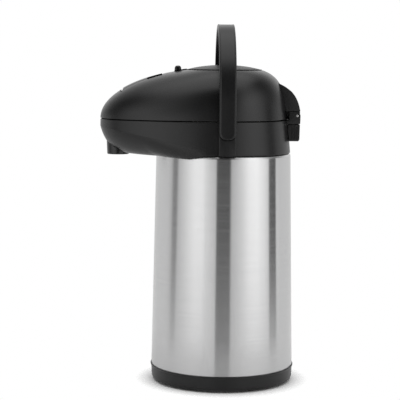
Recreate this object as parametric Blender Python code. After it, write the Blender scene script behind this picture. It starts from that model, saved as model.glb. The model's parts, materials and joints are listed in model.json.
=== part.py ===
"""Push-button thermal airpot: a tapered steel vacuum body under a plastic pump head.

Frame: +Z up, origin at the centre of the resting face, the spout points to -Y, the lid hinge
is at +Y. Lengths are millimetres until they reach a mesh, which is in metres.
"""

import math

import bmesh
import bpy
from mathutils import Matrix

MM = 0.001

# ---- driving dimensions (mm); pivots are (y, z) ----
SHELL_R0 = 82.1                 # shell radius extrapolated to the floor
SHELL_TAPER = 0.0192            # radius lost per mm of height
SHELL_WALL = 0.8
SHELL_BOTTOM_Z = 17.1
COLLAR_BOTTOM_Z = 263.9
SHOULDER_TOP_Z = 301.4
SEAM_Z = 302.3                  # underside of the lid
HEAD_R = 75.8                   # half the head's plan width
REAR = 73.2                     # plan reach behind the axis, at the seam
NOSE = 141.3                    # plan reach of the nose in front of the axis
NOSE_POWER = 0.54
WALL = 2.4                      # wall of the head's mouldings
WELL_R, WELL_RIM_Z = 43.2, 357.9    # button well
BUTTON_R = WELL_R - 1.1
BUTTON_TOP_Z = 363.4
HINGE = (83.0, 306.5)
PIVOT = (2.6, 291.8)            # carry handle pivot
STRAP_Y = 1.4                   # strap centre, ahead of the pivot so the handle rests upright
STRAP_IN, STRAP_OUT = 80.5, 86.0
STRAP_W = 19.0
HANDLE_TOP_Z = 409.7
LATCH = (-111.6, 331.0)         # lid latch lever pivot
LOCK_Y = -52.9                  # lock slider's centre
SPOUT_Y = -121.0
SIPHON_Y = -24.0
BALL_Z = 289.4
PART_SLOPE, PART_Z0 = 0.19, 266.9   # parting plane under the nose: z = Z0 - slope * y
COVER_END_Y = -30.0

# mesh divisions
LID_SPLIT = (14, 24)            # outline points round the rear and round the nose
SHOULDER_SPLIT = (20, 28)
LEVELS_OUT, LEVELS_IN = 6, 4    # rings of faces on the lid
BISECTIONS = 50


# ---- materials ----
def material(name, rgb, roughness, metallic):
    mat = bpy.data.materials.new(name)
    mat.use_nodes = True
    inputs = mat.node_tree.nodes["Principled BSDF"].inputs
    inputs["Base Color"].default_value = (*rgb, 1)
    inputs["Roughness"].default_value = roughness
    inputs["Metallic"].default_value = metallic
    mat.diffuse_color = (*rgb, 1)
    return mat


for old in list(bpy.data.objects):
    bpy.data.objects.remove(old, do_unlink=True)

BLACK = material("black_plastic", rgb=(0.020, 0.020, 0.022), roughness=0.42, metallic=0)
DARK = material("dark_plastic", rgb=(0.012, 0.012, 0.013), roughness=0.34, metallic=0)
STEEL = material("brushed_steel", rgb=(0.62, 0.61, 0.60), roughness=0.32, metallic=1)
BRIGHT = material("bright_steel", rgb=(0.72, 0.72, 0.71), roughness=0.18, metallic=1)
GREY = material("grey_plastic", rgb=(0.30, 0.30, 0.31), roughness=0.5, metallic=0)
RUBBER = material("rubber", rgb=(0.03, 0.03, 0.03), roughness=0.85, metallic=0)
SILICONE = material("silicone", rgb=(0.72, 0.70, 0.66), roughness=0.6, metallic=0)


# ---- numbers and points ----
def clamp(value):
    return max(0.0, min(value, 1.0))


def smoothstep(t):
    return t * t * (3 - 2 * t)


def bisect(is_below, low, high):
    """The value between low and high where is_below turns false."""
    for _ in range(BISECTIONS):
        middle = (low + high) / 2
        low, high = (middle, high) if is_below(middle) else (low, middle)
    return low


def toward(x, y, radius, z):
    """The point at this radius and height in the direction of (x, y)."""
    reach = math.hypot(x, y)
    return (x / reach * radius, y / reach * radius, z)


def circle(radius, count, u=0.0, v=0.0):
    angles = [2 * math.pi * i / count for i in range(count)]
    return [(u + radius * math.cos(a), v + radius * math.sin(a)) for a in angles]


def arc(radius, degrees, u, v):
    angles = [math.radians(d) for d in degrees]
    return [(u + radius * math.cos(a), v + radius * math.sin(a)) for a in angles]


def rounded_rect(width, height, radius, u, v, steps=3):
    points = []
    for i, (su, sv) in enumerate(((1, 1), (-1, 1), (-1, -1), (1, -1))):
        degrees = [90 * i + 90 * k / steps for k in range(steps + 1)]
        points += arc(radius, degrees, u + su * (width / 2 - radius), v + sv * (height / 2 - radius))
    return points


def resample(points, count):
    """Evenly spaced points along a line of (r, z) points."""
    spans = [math.hypot(b[0] - a[0], b[1] - a[1]) for a, b in zip(points, points[1:])]
    total = sum(spans)
    out = []
    for i in range(count):
        left = total * i / (count - 1)
        for a, b, span in zip(points, points[1:], spans):
            if left <= span + 1e-9:
                f = min(left / span, 1.0) if span else 0.0
                out.append((a[0] + f * (b[0] - a[0]), a[1] + f * (b[1] - a[1])))
                break
            left -= span
    return out


# ---- meshes ----
def finish(name, bm, mat, angle=35.0):
    """Turns a bmesh in millimetres into an object in metres, faces pointing out."""
    bmesh.ops.remove_doubles(bm, verts=bm.verts, dist=1e-4)
    bmesh.ops.scale(bm, vec=(MM, MM, MM), verts=bm.verts)
    bmesh.ops.recalc_face_normals(bm, faces=bm.faces)
    if bm.calc_volume(signed=True) < 0:
        bmesh.ops.reverse_faces(bm, faces=bm.faces)
    mesh = bpy.data.meshes.new(name)
    bm.to_mesh(mesh)
    bm.free()
    mesh.materials.append(mat)
    mesh.shade_smooth()
    mesh.set_sharp_from_angle(angle=math.radians(angle))
    obj = bpy.data.objects.new(name, mesh)
    bpy.context.scene.collection.objects.link(obj)
    return obj


def loft(name, loops, mat, cyclic=True):
    """Joins closed loops. cyclic joins the last to the first; otherwise both ends are filled."""
    bm = bmesh.new()
    rows = [[bm.verts.new(p) for p in loop] for loop in loops]
    n, k = len(rows), len(rows[0])
    for i in range(n if cyclic else n - 1):
        a, b = rows[i], rows[(i + 1) % n]
        for j in range(k):
            bm.faces.new((a[j], a[(j + 1) % k], b[(j + 1) % k], b[j]))
    if not cyclic:
        bm.faces.new(rows[0])
        bm.faces.new(list(reversed(rows[-1])))
    return finish(name, bm, mat)


def revolve(name, profile, mat, seg=32, centre=(0.0, 0.0), angle=35.0):
    """Turns (r, z) points about a vertical axis: a closed ring, or a line from axis to axis."""
    bm = bmesh.new()
    rows = []
    for r, z in profile:
        if r == 0:
            rows.append([bm.verts.new((*centre, z))] * seg)
        else:
            rows.append([bm.verts.new((x, y, z)) for x, y in circle(r, seg, *centre)])
    on_pole = profile[0][0] == 0
    for i in range(len(rows) - (1 if on_pole else 0)):
        a, b = rows[i], rows[(i + 1) % len(rows)]
        for s in range(seg):
            t = (s + 1) % seg
            corners = list(dict.fromkeys((a[s], a[t], b[t], b[s])))
            if len(corners) > 2:
                bm.faces.new(corners)
    return finish(name, bm, mat, angle)


def pivot_ring(name, profile, side, mat, seg):
    """Turns a closed ring of (r, x) points about the handle's pivot, on one side."""
    y, z = PIVOT
    loops = [[(side * x, y + r * c, z + r * s) for r, x in profile] for c, s in circle(1.0, seg)]
    return loft(name, loops, mat)


def prism(name, polygon, axis, low, high, mat):
    """Extrudes a polygon: (y, z) points along axis x, (x, z) along y, (x, y) along z."""
    place = {
        "x": lambda a, b, t: (t, a, b),
        "y": lambda a, b, t: (a, t, b),
        "z": lambda a, b, t: (a, b, t),
    }[axis]
    return loft(name, [[place(a, b, t) for a, b in polygon] for t in (low, high)], mat, False)


def box(name, half, y0, y1, z0, z1, mat):
    """A box from -half to half in x."""
    return prism(name, [(-half, y0), (half, y0), (half, y1), (-half, y1)], "z", z0, z1, mat)


def rod_x(name, centre, radius, x0, x1, mat, seg=24):
    return prism(name, circle(radius, seg, *centre), "x", x0, x1, mat)


def rod_z(name, x, y, radius, z0, z1, mat, seg):
    return prism(name, circle(radius, seg, x, y), "z", z0, z1, mat)


def pipe(name, path, mat, r_out=4.6, r_in=3.2, seg=16):
    """A hollow pipe along (y, z) points in the plane x = 0."""
    last = len(path) - 1
    stations = []
    for i, (y, z) in enumerate(path):
        a, b = path[max(i - 1, 0)], path[min(i + 1, last)]
        dy, dz = b[0] - a[0], b[1] - a[1]
        length = math.hypot(dy, dz)
        stations.append((y, z, dy / length, dz / length))
    loops = []
    for c, s in circle(1.0, seg):
        loop = [(r_out * c, y - r_out * s * dz, z + r_out * s * dy) for y, z, dy, dz in stations]
        loop += [(r_in * c, y - r_in * s * dz, z + r_in * s * dy)
                 for y, z, dy, dz in reversed(stations)]
        loops.append(loop)
    return loft(name, loops, mat)


def combine(target, operation, *helpers):
    """Adds a Boolean for each helper, which isn't shown."""
    for helper in helpers:
        helper.hide_render = True
        helper.display_type = "WIRE"
        modifier = target.modifiers.new(operation.lower() + "_" + helper.name, "BOOLEAN")
        modifier.operation = operation
        modifier.object = helper
        modifier.solver = "EXACT"


def cut(target, *helpers):
    combine(target, "DIFFERENCE", *helpers)


def add(target, *helpers):
    combine(target, "UNION", *helpers)


# ---- plan outline of the head ----
def outline(n_rear, n_front):
    """Points (x, y) from +X over the rear to -X and back round the nose."""
    points = []
    for i in range(n_rear):
        t = math.pi * i / n_rear
        points.append((HEAD_R * math.cos(t), REAR * math.sin(t)))
    for i in range(n_front):
        t = math.pi * i / n_front
        c = math.cos(t)
        x = -HEAD_R * math.copysign(abs(c) ** (2 * NOSE_POWER), c)
        points.append((x, -NOSE * math.sin(t)))
    return points


def inset_outline(n_rear, n_front, inset):
    """The outline moved in along its own normal."""
    points = outline(n_rear, n_front)
    out = []
    for i, (x, y) in enumerate(points):
        ax, ay = points[i - 1]
        bx, by = points[(i + 1) % len(points)]
        dx, dy = bx - ax, by - ay
        length = math.hypot(dx, dy)
        out.append((x - inset * dy / length, y + inset * dx / length))
    return out


def half_width(y):
    """Half the plan width of the head at y."""
    if y >= 0:
        return HEAD_R * math.sqrt(max(1 - (y / REAR) ** 2, 0))
    return HEAD_R * max(1 - (y / NOSE) ** 2, 0) ** NOSE_POWER


# ---- dome of the lid ----
# (at the sides, change to the rear, change to the nose); draft is mm per mm
DOME_POWER = (3.0, 0.7, -1.0)
DOME_DRAFT = (0.07, 0.04, -0.07)


def dome_shape(x, y):
    """For an outline point: distance from the axis, the dome's exponent, full height, draft."""
    reach = math.hypot(x, y)
    u = y / reach
    blend = smoothstep(abs(u))
    end = 1 if u > 0 else 2
    power = DOME_POWER[0] + DOME_POWER[end] * blend
    draft = DOME_DRAFT[0] + DOME_DRAFT[end] * blend
    rim_h = WELL_RIM_Z - SEAM_Z
    height = rim_h / (1 - (WELL_R / (reach - draft * rim_h)) ** power) ** (1 / power)
    return reach, power, height, draft


def dome_r(shape, h):
    """Distance of the dome's surface from the axis at height h above the seam."""
    reach, power, height, draft = shape
    return (reach - draft * h) * max(1 - (h / height) ** power, 0.0) ** (1 / power)


def dome_z(x, y):
    """Height of the lid's outer surface above a plan point outside the button well."""
    def inside(k):
        return REAR > y * k > -NOSE and abs(x * k) < half_width(y * k)

    # the outline point in the same direction
    scale = bisect(inside, 1.0, 6.0)
    shape = dome_shape(x * scale, y * scale)
    distance = math.hypot(x, y)
    return SEAM_Z + bisect(lambda h: dome_r(shape, h) > distance, 0.0, shape[2])


def dome_curve(x, y, levels, inset=0.0, end_r=WELL_R):
    """Points from the seam up to radius end_r over one outline point, moved in by inset."""
    shape = dome_shape(x, y)
    reach, power, height, draft = shape

    def rise(angle):
        return height * math.sin(angle) ** (2 / power)

    end = bisect(lambda angle: dome_r(shape, rise(angle)) > end_r, 0.0, math.pi / 2)
    out = []
    for i in range(levels + 1):
        angle = end * i / levels
        h = rise(angle)
        rho, base = math.cos(angle) ** (2 / power), reach - draft * h
        # direction of the outward normal in the (r, z) plane
        normal_r = rho ** (power - 1) / base
        normal_z = (max(h, 1e-6) / height) ** (power - 1) / height + rho**power * draft / base
        length = math.hypot(normal_r, normal_z)
        r = rho * base - inset * normal_r / length
        out.append(toward(x, y, r, SEAM_Z + h - inset * normal_z / length))
    return out


def dome_solid(name, inset):
    """The whole dome as a solid, moved in from its outer surface by inset."""
    bm = bmesh.new()
    rows = []
    for x, y in outline(*LID_SPLIT):
        foot = toward(x, y, math.hypot(x, y) - inset, 296.0)
        rows.append([bm.verts.new(p) for p in [foot] + dome_curve(x, y, LEVELS_OUT, inset)])
    for i, a in enumerate(rows):
        b = rows[(i + 1) % len(rows)]
        for j in range(len(a) - 1):
            bm.faces.new((a[j], a[j + 1], b[j + 1], b[j]))
    bm.faces.new([row[0] for row in rows])
    bm.faces.new([row[-1] for row in rows])
    return finish(name, bm, BLACK)


# ---- outer wall of the shoulder ----
FLARE_SIDE, FLARE_REAR, FLARE_FRONT = 0.013, 0.033, -0.009  # growth; the last two are changes
FLARE_DEPTH = 37.0


def parting_z(y):
    return PART_Z0 - PART_SLOPE * y


def wall_scale(x, y, z):
    """The head's outer wall at height z below the seam, as a scale on the outline point."""
    reach = math.hypot(x, y)
    front, rear = max(0.0, -y / reach) ** 2, max(0.0, y / reach) ** 2
    flare = FLARE_SIDE + FLARE_REAR * rear + FLARE_FRONT * front
    return 1 + flare * clamp((SHOULDER_TOP_Z - z) / FLARE_DEPTH)


def collar_solid(name, gap):
    """The collar's outside as a solid, larger by gap."""
    levels = []
    for z in (262.0, 264.4, 283.0, 302.0):
        loop = []
        for x, y in outline(*SHOULDER_SPLIT):
            k = wall_scale(x, y, z) + gap / math.hypot(x, y)
            loop.append((x * k, y * k, z))
        levels.append(loop)
    return loft(name, levels, DARK, False)


def wall_columns():
    """Outline points, doubled where the collar wall steps up to the parting plane."""
    step = []
    for side in (-1, 1):
        for y in (COVER_END_Y + 0.5, COVER_END_Y):
            step.append((side * half_width(y), y))
    clear = [c for c in outline(*SHOULDER_SPLIT)
             if min(math.hypot(c[0] - s[0], c[1] - s[1]) for s in step) > 3.0]
    return sorted(clear + step, key=lambda c: math.atan2(c[1], c[0]) % (2 * math.pi))


def over_cover(y):
    return y <= COVER_END_Y + 0.01


# ================= vacuum body =================
def build_vacuum_body():
    def shell_r(z):
        return SHELL_R0 - SHELL_TAPER * z

    revolve("outer_shell", [
        (shell_r(SHELL_BOTTOM_Z), SHELL_BOTTOM_Z), (shell_r(260.6), 260.6), (76.5, 262.5),
        (74.9, 263.4), (45, 274.5), (37.6, 278.0), (36.8, 281), (36.8, 285.0),
        (36.0, 285.0), (36.0, 280.6), (37.0, 277.3), (44.7, 273.7), (74.2, 262.6), (75.6, 261.8),
        (shell_r(260) - SHELL_WALL, 260), (shell_r(SHELL_BOTTOM_Z) - SHELL_WALL, SHELL_BOTTOM_Z),
    ], STEEL, angle=40)

    revolve("inner_vessel", [
        (0, 28.0), (40, 29.0), (58, 33.5), (65.5, 41), (68.3, 52), (68.3, 240), (65, 253),
        (56, 262.5), (40, 271.2), (36.0, 275.6), (35.6, 279), (35.6, 285.0),
        (34.7, 285.0), (34.7, 278.7), (35.2, 275.1), (39.4, 270.4), (55.4, 261.8), (64.2, 252.4),
        (67.4, 239.8), (67.4, 52.3), (64.8, 41.7), (57.6, 34.5), (40, 30.0), (0, 29.0),
    ], BRIGHT, 24)

    revolve("jacket_bottom", [
        (0, 16.5), (9.6, 16.5), (13.6, 13.6), (76, 14.6), (80.2, 18), (80.2, 24),
        (79.3, 24), (79.3, 18.6), (75.6, 15.5), (14.0, 14.5), (10.0, 17.4), (0, 17.4),
    ], STEEL)


# ================= base and turntable =================
def build_base():
    bolt_hole_r = 4.3
    revolve("base_cup", [
        (82.7, 18.6), (82.7, 17.4), (81.8, 16.2), (81.4, 5.6), (80.2, 2.6), (78.2, 1.3),
        (77.4, 1.3), (77.4, 9.0), (9.0, 9.0), (9.0, 4.5), (bolt_hole_r, 4.5),
        (bolt_hole_r, 11.3), (79.6, 11.3), (80.3, 16.7), (82.1, 16.7), (82.1, 18.6),
    ], BLACK)
    revolve("turntable", [
        (9.4, 4.6), (9.4, 7.0), (57, 7.0), (59.5, 8.3), (76.6, 8.3), (76.6, 0.9),
        (75.0, 0.9), (75.0, 2.4), (64.0, 2.4), (64.0, 0.9), (61.0, 0.9), (59, 4.6),
    ], BLACK)
    revolve("non_slip_ring", [(64.4, 0.0), (64.4, 2.1), (74.6, 2.1), (74.6, 0.0)], RUBBER)
    revolve("turntable_washer", [
        (bolt_hole_r, 2.9), (bolt_hole_r, 4.2), (14.0, 4.2), (14.0, 2.9),
    ], BRIGHT, 24)
    revolve("turntable_bolt", [
        (0, 0.9), (6.2, 0.9), (7.2, 1.7), (7.2, 2.6), (4.0, 2.6), (4.0, 15.8), (0, 15.8),
    ], BRIGHT, 24)
    revolve("bolt_cover", [
        (0, 0), (11.4, 0), (12.2, 0.6), (12.2, 2.6), (7.6, 2.6), (7.6, 0.6), (0, 0.6),
    ], RUBBER, 24)
    nut = prism("turntable_nut", circle(7.0, 6), "z", 11.6, 15.2, BRIGHT)
    cut(nut, rod_z("cut_nut", 0, 0, bolt_hole_r, 10, 17, BRIGHT, 24))


# ================= shoulder: collar, nose wall, deck =================
def build_shoulder():
    top, lip_inset = SHOULDER_TOP_Z, 0.5
    loops = []
    for x, y in wall_columns():
        reach = math.hypot(x, y)
        low = parting_z(y) if over_cover(y) else COLLAR_BOTTOM_Z
        loop = []
        for z in (top, top - 1.0, 0.5 * (top + low), low + 1.2, low):
            lip = lip_inset if z in (top, low) else 0.0
            loop.append(toward(x, y, reach * wall_scale(x, y, z) - lip, z))
        for z in (low, top):
            loop.append(toward(x, y, reach * wall_scale(x, y, z) - WALL, z))
        loops.append(loop)
    shoulder = loft("shoulder", loops, BLACK)

    bore = rod_x("cut_pivots", PIVOT, 6.4, -90, 90, BLACK, 32)
    cut(shoulder, bore)
    pad_half, pad_low, pad_high = 9.3, COLLAR_BOTTOM_Z + 0.2, 301.0
    for side, tag in ((1, "right"), (-1, "left")):
        # flat pad that carries the handle's pivot, bored like the wall
        pad = loft("add_pad_" + tag, [[
            (side * x, STRAP_Y - pad_half, pad_low), (side * x, STRAP_Y + pad_half, pad_low),
            (side * x, STRAP_Y + pad_half, pad_high), (side * x, STRAP_Y - pad_half, pad_high),
        ] for x in (74.2, 79.2)], BLACK, False)
        cut(pad, bore)
        add(shoulder, pad)
    add(
        shoulder,
        revolve("add_deck", [
            (46.0, 283.0), (46.0, 285.2), (74.4, 285.2), (74.4, 265.2), (72.2, 265.2),
            (72.2, 283.0),
        ], BLACK, 44),
        box("add_strike", 8, -140.0, -121.2, 298.8, 301.0, BLACK),
    )


# ================= cover under the nose =================
BELLY_Z = 259.8
BELLY_Y = -44               # the underside rises gently ahead of here, faster behind
COVER_INNER_R = 77.75       # clears the shell
COVER_STEPS, COVER_POINTS = 12, 7
CREASE_DEG = 18


def belly_bottom(y):
    if y < BELLY_Y:
        return BELLY_Z + 0.0333 * (BELLY_Y - y)
    return BELLY_Z + 3.9 * smoothstep(clamp((y - BELLY_Y) / 22))


def cover_section(x, y, thick):
    """Line of the cover from the parting plane to the shell, moved in by thick, as (r, z)."""
    reach = math.hypot(x, y)
    top, low = parting_z(y) - 0.35, belly_bottom(y)
    depth = max(0.3, min(29.0, 0.92 * (reach - 78.4)))
    wall_r = reach * wall_scale(x, y, top)
    # the crease along the parting line: sharp at the nose, gone beside the body
    start = math.radians(CREASE_DEG) * smoothstep(clamp((-y - 45) / 70))
    out = []
    for i in range(COVER_STEPS + 1):
        a = start + (math.pi / 2 - start) * i / COVER_STEPS
        across = max(math.cos(a) / math.cos(start), 0.0)
        down = (math.sin(a) - math.sin(start)) / (1 - math.sin(start))
        r, z = wall_r - depth + depth * across**1.03, top - (top - low) * down
        normal_r, normal_z = math.cos(a) / depth, -math.sin(a) / (top - low)
        length = math.hypot(normal_r, normal_z)
        z = min(z - thick * normal_z / length, top - 0.02 * i)
        out.append((r - thick * normal_r / length, z))
    return out


def build_nose_cover():
    loops = []
    for x, y in wall_columns():
        if not over_cover(y):
            continue
        thick = min(2.0, max(0.9, 0.8 * (math.hypot(x, y) - COVER_INNER_R)))
        outer = resample(cover_section(x, y, 0.0), COVER_POINTS)
        inner = resample(cover_section(x, y, thick), COVER_POINTS)
        edge_z = belly_bottom(y) + 0.1
        # the wall stays outside the shell and never folds back on itself
        for i, (r, z) in enumerate(inner):
            left = COVER_POINTS - i
            inner[i] = (max(r, COVER_INNER_R + 0.06 * left), max(z, edge_z + thick + 0.16 * left))
        edge = [(COVER_INNER_R, edge_z), (COVER_INNER_R, edge_z + thick)]
        loops.append([toward(x, y, r, z) for r, z in outer + edge + inner[::-1]])
    cover = loft("nose_cover", loops, BLACK, False)
    cut(cover, rod_z("cut_spout", 0, SPOUT_Y, 13.6, 250, 300, BLACK, 32))


# ================= mouth, siphon and spout =================
def build_siphon():
    revolve("mouth_gasket", [(34.9, 285.3), (34.9, 287.3), (40.5, 287.3), (40.5, 285.3)], SILICONE)
    outlet_z = 292.8
    ring = revolve("siphon_ring", [(33.2, 287.6), (33.2, 298.0), (43.4, 298.0), (43.4, 287.6)], GREY)
    add(ring, prism("add_siphon_block", [
        (-8, -33.6), (8, -33.6), (8, -20), (5, -16.5), (-5, -16.5), (-8, -20),
    ], "z", 281.0, 296.6, GREY))
    cut(
        ring,
        rod_z("cut_valve", 0, SIPHON_Y, 4.9, 285.2, 296.0, GREY, 20),
        rod_z("cut_tube", 0, SIPHON_Y, 5.3, 278, 285.3, GREY, 20),
        prism("cut_outlet", circle(3.3, 16, 0, outlet_z), "y", -46, -23, GREY),
    )
    revolve("siphon_tube", [(3.6, 36.0), (3.6, 284.6), (5.0, 284.6), (5.0, 36.0)], BRIGHT, 20,
            (0, SIPHON_Y))

    ball_r = 4.1
    half_circle = []
    for degrees in range(0, 181, 20):
        a = math.radians(degrees)
        r = ball_r * math.sin(a) if 0 < degrees < 180 else 0
        half_circle.append((r, BALL_Z - ball_r * math.cos(a)))
    revolve("spill_valve_ball", half_circle, BRIGHT, 14, (0, SIPHON_Y))

    pipe("delivery_pipe", [(-43.8, outlet_z), (-47.0, 292.7), (-100, 290.0), (-108.8, 289.6)], GREY)
    bend_r = 9.0
    bend = arc(bend_r, range(90, 181, 18), SPOUT_Y + bend_r, 280.4)
    pipe("spout_elbow", [(-109.2, 289.58)] + bend + [(SPOUT_Y, 264.5)], GREY)
    revolve("spout_nozzle", [
        (12.2, 261.0), (12.5, 262.0), (13.3, 279.5), (13.3, 283.0), (11.2, 283.0),
        (10.2, 261.6), (10.6, 261.0),
    ], DARK, centre=(0, SPOUT_Y))


# ================= lid =================
WELL_BOTTOM_Z = 328.0
WELL_WALL = 2.0
SCREWS = ((52, 30), (-52, 30), (38, -84), (-38, -84))   # (x, y)
SCREW_HOLE_R = 2.0


def build_lid_cover():
    lining_r = WELL_R + WELL_WALL
    loops = []
    for x, y in outline(*LID_SPLIT):
        reach = math.hypot(x, y)
        outer = dome_curve(x, y, LEVELS_OUT)
        inner = dome_curve(x, y, LEVELS_IN, WALL, WELL_R + WALL + 0.4)[::-1]
        loops.append([
            toward(x, y, reach - 0.5, SEAM_Z),
            toward(x, y, reach, SEAM_Z + 0.8),
            *outer[1:],
            toward(x, y, WELL_R, WELL_BOTTOM_Z),
            toward(x, y, lining_r, WELL_BOTTOM_Z),
            toward(x, y, lining_r, inner[0][2] - 0.4),
            *inner[1:-1],
            toward(x, y, reach - WALL, SEAM_Z),
        ])
    lid = loft("lid_cover", loops, BLACK)
    cut(
        lid,
        box("cut_latch", 11.6, -118.5, -69.8, 330, 372, BLACK),
        box("cut_lock_slot", 4.13, -57.47, -40.0, 349.0, 372.3, BLACK),
        box("cut_lock_window", 9.1, -48.3, -39.7, 341.27, 350.3, BLACK),
    )
    boss_r = 4.4
    for i, (x, y) in enumerate(SCREWS):
        # the boss ends inside the cover's wall, under its lowest point
        top = min(dome_z(*p) for p in circle(boss_r + 0.3, 12, x, y)) - 0.9
        boss = [(0, 306.2), (boss_r, 306.2), (boss_r, top), (0, top)]
        add(lid, revolve(f"add_boss_full_{i}", boss, BLACK, 12, (x, y)))
        cut(lid, rod_z(f"cut_boss_{i}", x, y, SCREW_HOLE_R, 300, 316.0, BLACK, 12))


def build_lid_base():
    """The plate that closes the lid from below, with the plug for the vessel's mouth."""
    air_r = 3.2
    base = prism("lid_base", inset_outline(14, 22, 4.6), "z", 303.4, 305.6, GREY)
    add(base, revolve("add_plug", [
        (air_r, 306.8), (air_r, 297.0), (31.8, 297.0), (32.4, 297.8), (32.4, 300.8),
        (42.6, 300.8), (42.6, 304.4), (37.0, 304.4), (37.0, 306.8),
    ], GREY))
    cut(
        base,
        rod_z("cut_air", 0, 0, air_r, 290, 310, GREY, 16),
        box("cut_hook", 6.6, -121.6, -94.0, 300, 308, GREY),
    )
    revolve("plug_gasket", [(33.4, 298.4), (33.4, 300.5), (42.4, 300.5), (42.4, 298.4)], SILICONE)
    revolve("air_valve_flap", [(0, 295.6), (7.5, 295.6), (7.5, 296.7), (0, 296.7)], SILICONE, 20)
    for i, (x, y) in enumerate(SCREWS):
        cut(base, rod_z(f"cut_screw_{i}", x, y, SCREW_HOLE_R, 300, 310, GREY, 12))
        revolve(f"lid_screw_{i + 1}", [
            (0, 301.6), (2.6, 301.6), (3.3, 302.4), (3.3, 303.1), (1.6, 303.1), (1.6, 313.0),
            (0.6, 314.4), (0, 314.4),
        ], BRIGHT, 12, (x, y))


# ================= button, bellows and return spring =================
def build_button():
    crown = [(r, BUTTON_TOP_Z - 5.0 * (r / BUTTON_R) ** 2.2) for r in (0, 14, 26, 35, 41.0)]
    revolve("pump_button", crown + [
        (BUTTON_R, 357.2), (BUTTON_R, 346.2), (39.9, 346.2), (39.7, 355.2), (32.6, 357.2),
        (32.6, 352.4), (30.4, 352.4), (30.4, 358.0), (16, 359.9), (0, 360.8),
    ], BLACK)


def build_bellows():
    low, high, folds = 307.2, 351.9, 5
    r_ridge, r_groove, wall = 34.0, 28.0, 1.3
    pitch = (high - low) / folds
    zigzag = []
    for i in range(folds):
        zigzag.append((r_ridge, low + pitch * (i + 0.5)))
        if i < folds - 1:
            zigzag.append((r_groove, low + pitch * (i + 1)))
    inner = [(r - wall, z) for r, z in reversed(zigzag)]
    top = [(30.5, high), (22.0, high), (22.0, 350.7), (29.0, 350.7)]
    revolve("bellows", [(30.5, low)] + zigzag + top + inner + [(29.2, low)], SILICONE, 18)


def build_spring():
    low, high, coil_r, wire_r = 308.9, 349.0, 16, 0.95
    turns, steps_per_turn = 5, 10
    steps = turns * steps_per_turn
    loops = []
    for i in range(steps + 1):
        a = 2 * math.pi * i / steps_per_turn
        z = low + (high - low) * i / steps
        c, s = math.cos(a), math.sin(a)
        loops.append([(r * c, r * s, z + dz) for r, dz in circle(wire_r, 5, coil_r)])
    loft("return_spring", loops, BRIGHT, False)


def build_lock():
    """Lock slider: a nub in a slot, and a tongue that passes under the button's skirt."""
    nub = rounded_rect(7.2, 7.8, 2.4, 0, LOCK_Y)
    add(
        prism("lock_slider", nub, "z", 348.2, 362.7, DARK),
        box("add_slider_plate", 8.5, -59.0, -48.3, 346.0, 348.6, DARK),
        box("add_slider_riser", 5.6, -54.0, -48.9, 341.8, 347.0, DARK),
        box("add_slider_tongue", 5.2, -53.2, -45.5, 341.9, 345.7, DARK),
    )


# ================= latch on the nose =================
def crowned(name, half, y0, y1, rise, thick, steps):
    """A plate that follows the dome, rise above it."""
    loops = []
    for i in range(steps + 1):
        y = y0 + (y1 - y0) * i / steps
        # the middle point is kept just off x = 0
        xs = [half * k for k in (-1.0, -0.7, -0.35, 0.001, 0.35, 0.7, 1.0)]
        over = [(x, y, dome_z(x, y) + rise) for x in xs]
        loops.append(over + [(x, y, z - thick) for x, y, z in reversed(over)])
    return loft(name, loops, BLACK, False)


def build_latch():
    def under_dome(y, depth):
        return (y, dome_z(0.01, y) - depth)

    # side view of the lever (y, z): under the dome, then down to the hook and back
    side_view = [under_dome(y, 0.9) for y in (-113, -108, -102, -96, -90)] + [
        under_dome(-90, 3.4), under_dome(-106, 3.0), (-108.2, 329.4), (-110.0, 318.0),
        (-110.6, 297.8), (-120.6, 297.8), (-120.6, 298.6), (-115.4, 301.4), (-115.0, 318.0),
        (-115.0, 331.4),
    ]
    lever = prism("latch_lever", side_view, "x", -5.6, 5.6, BLACK)
    add(
        lever,
        crowned("add_lever_plate", 11.0, -115.8, -87.2, rise=0.7, thick=2.9, steps=6),
        crowned("add_lever_grip", 10.8, -90.0, -70.8, rise=-0.4, thick=2.0, steps=4),
    )
    cut(lever, rod_x("cut_latch_pin", LATCH, 1.7, -14, 14, BLACK, 16))
    rod_x("latch_pin", LATCH, 1.4, -13.2, 13.2, BRIGHT, 16)

    housing = prism("latch_housing", [
        (-119.4, 330.0), (-119.4, 322.5), (-68.6, 338.5), (-68.6, 350.0), (-92, 341.5),
        (-104, 336.0),
    ], "x", -14.2, 14.2, DARK)
    cut(housing, prism("cut_housing", [
        (-118.2, 340.0), (-118.2, 324.2), (-69.9, 339.8), (-69.9, 360.0),
    ], "x", -12.1, 12.1, DARK))
    combine(housing, "INTERSECT", dome_solid("cut_under_dome", WALL + 1.0))
    cut(
        housing,
        box("cut_housing_slot", 6.8, -117.8, -93.0, 310, 345, DARK),
        rod_x("cut_housing_pin", LATCH, 1.75, -20, 20, DARK, 16),
    )


# ================= hinge =================
KNUCKLE_R = 3.7


def build_hinge_arm():
    arm = prism("lid_hinge_arm", [
        (60.0, 344.0), (64.6, 341.9), (68.6, 339.7), (72.1, 337.3), (75.6, 334.6), (79.1, 330.6),
        (82.2, 325.6), (84.6, 319.6), (86.0, 314.0), (86.6, 311.6), (60.0, 311.6),
    ], "x", -17.6, 17.6, DARK)
    knuckle = [(86.5, 311.8)] + arc(KNUCKLE_R, range(0, -181, -20), *HINGE)
    knuckle += [(72.0, 305.0), (66.0, 305.0), (66.0, 313.0)]
    add(arm, prism("add_knuckle", knuckle, "x", -12.0, 12.0, DARK))
    cut(
        arm,
        dome_solid("cut_dome", -0.35),
        rod_x("cut_arm_pin", HINGE, 1.65, -20, 20, DARK, 16),
    )


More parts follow.
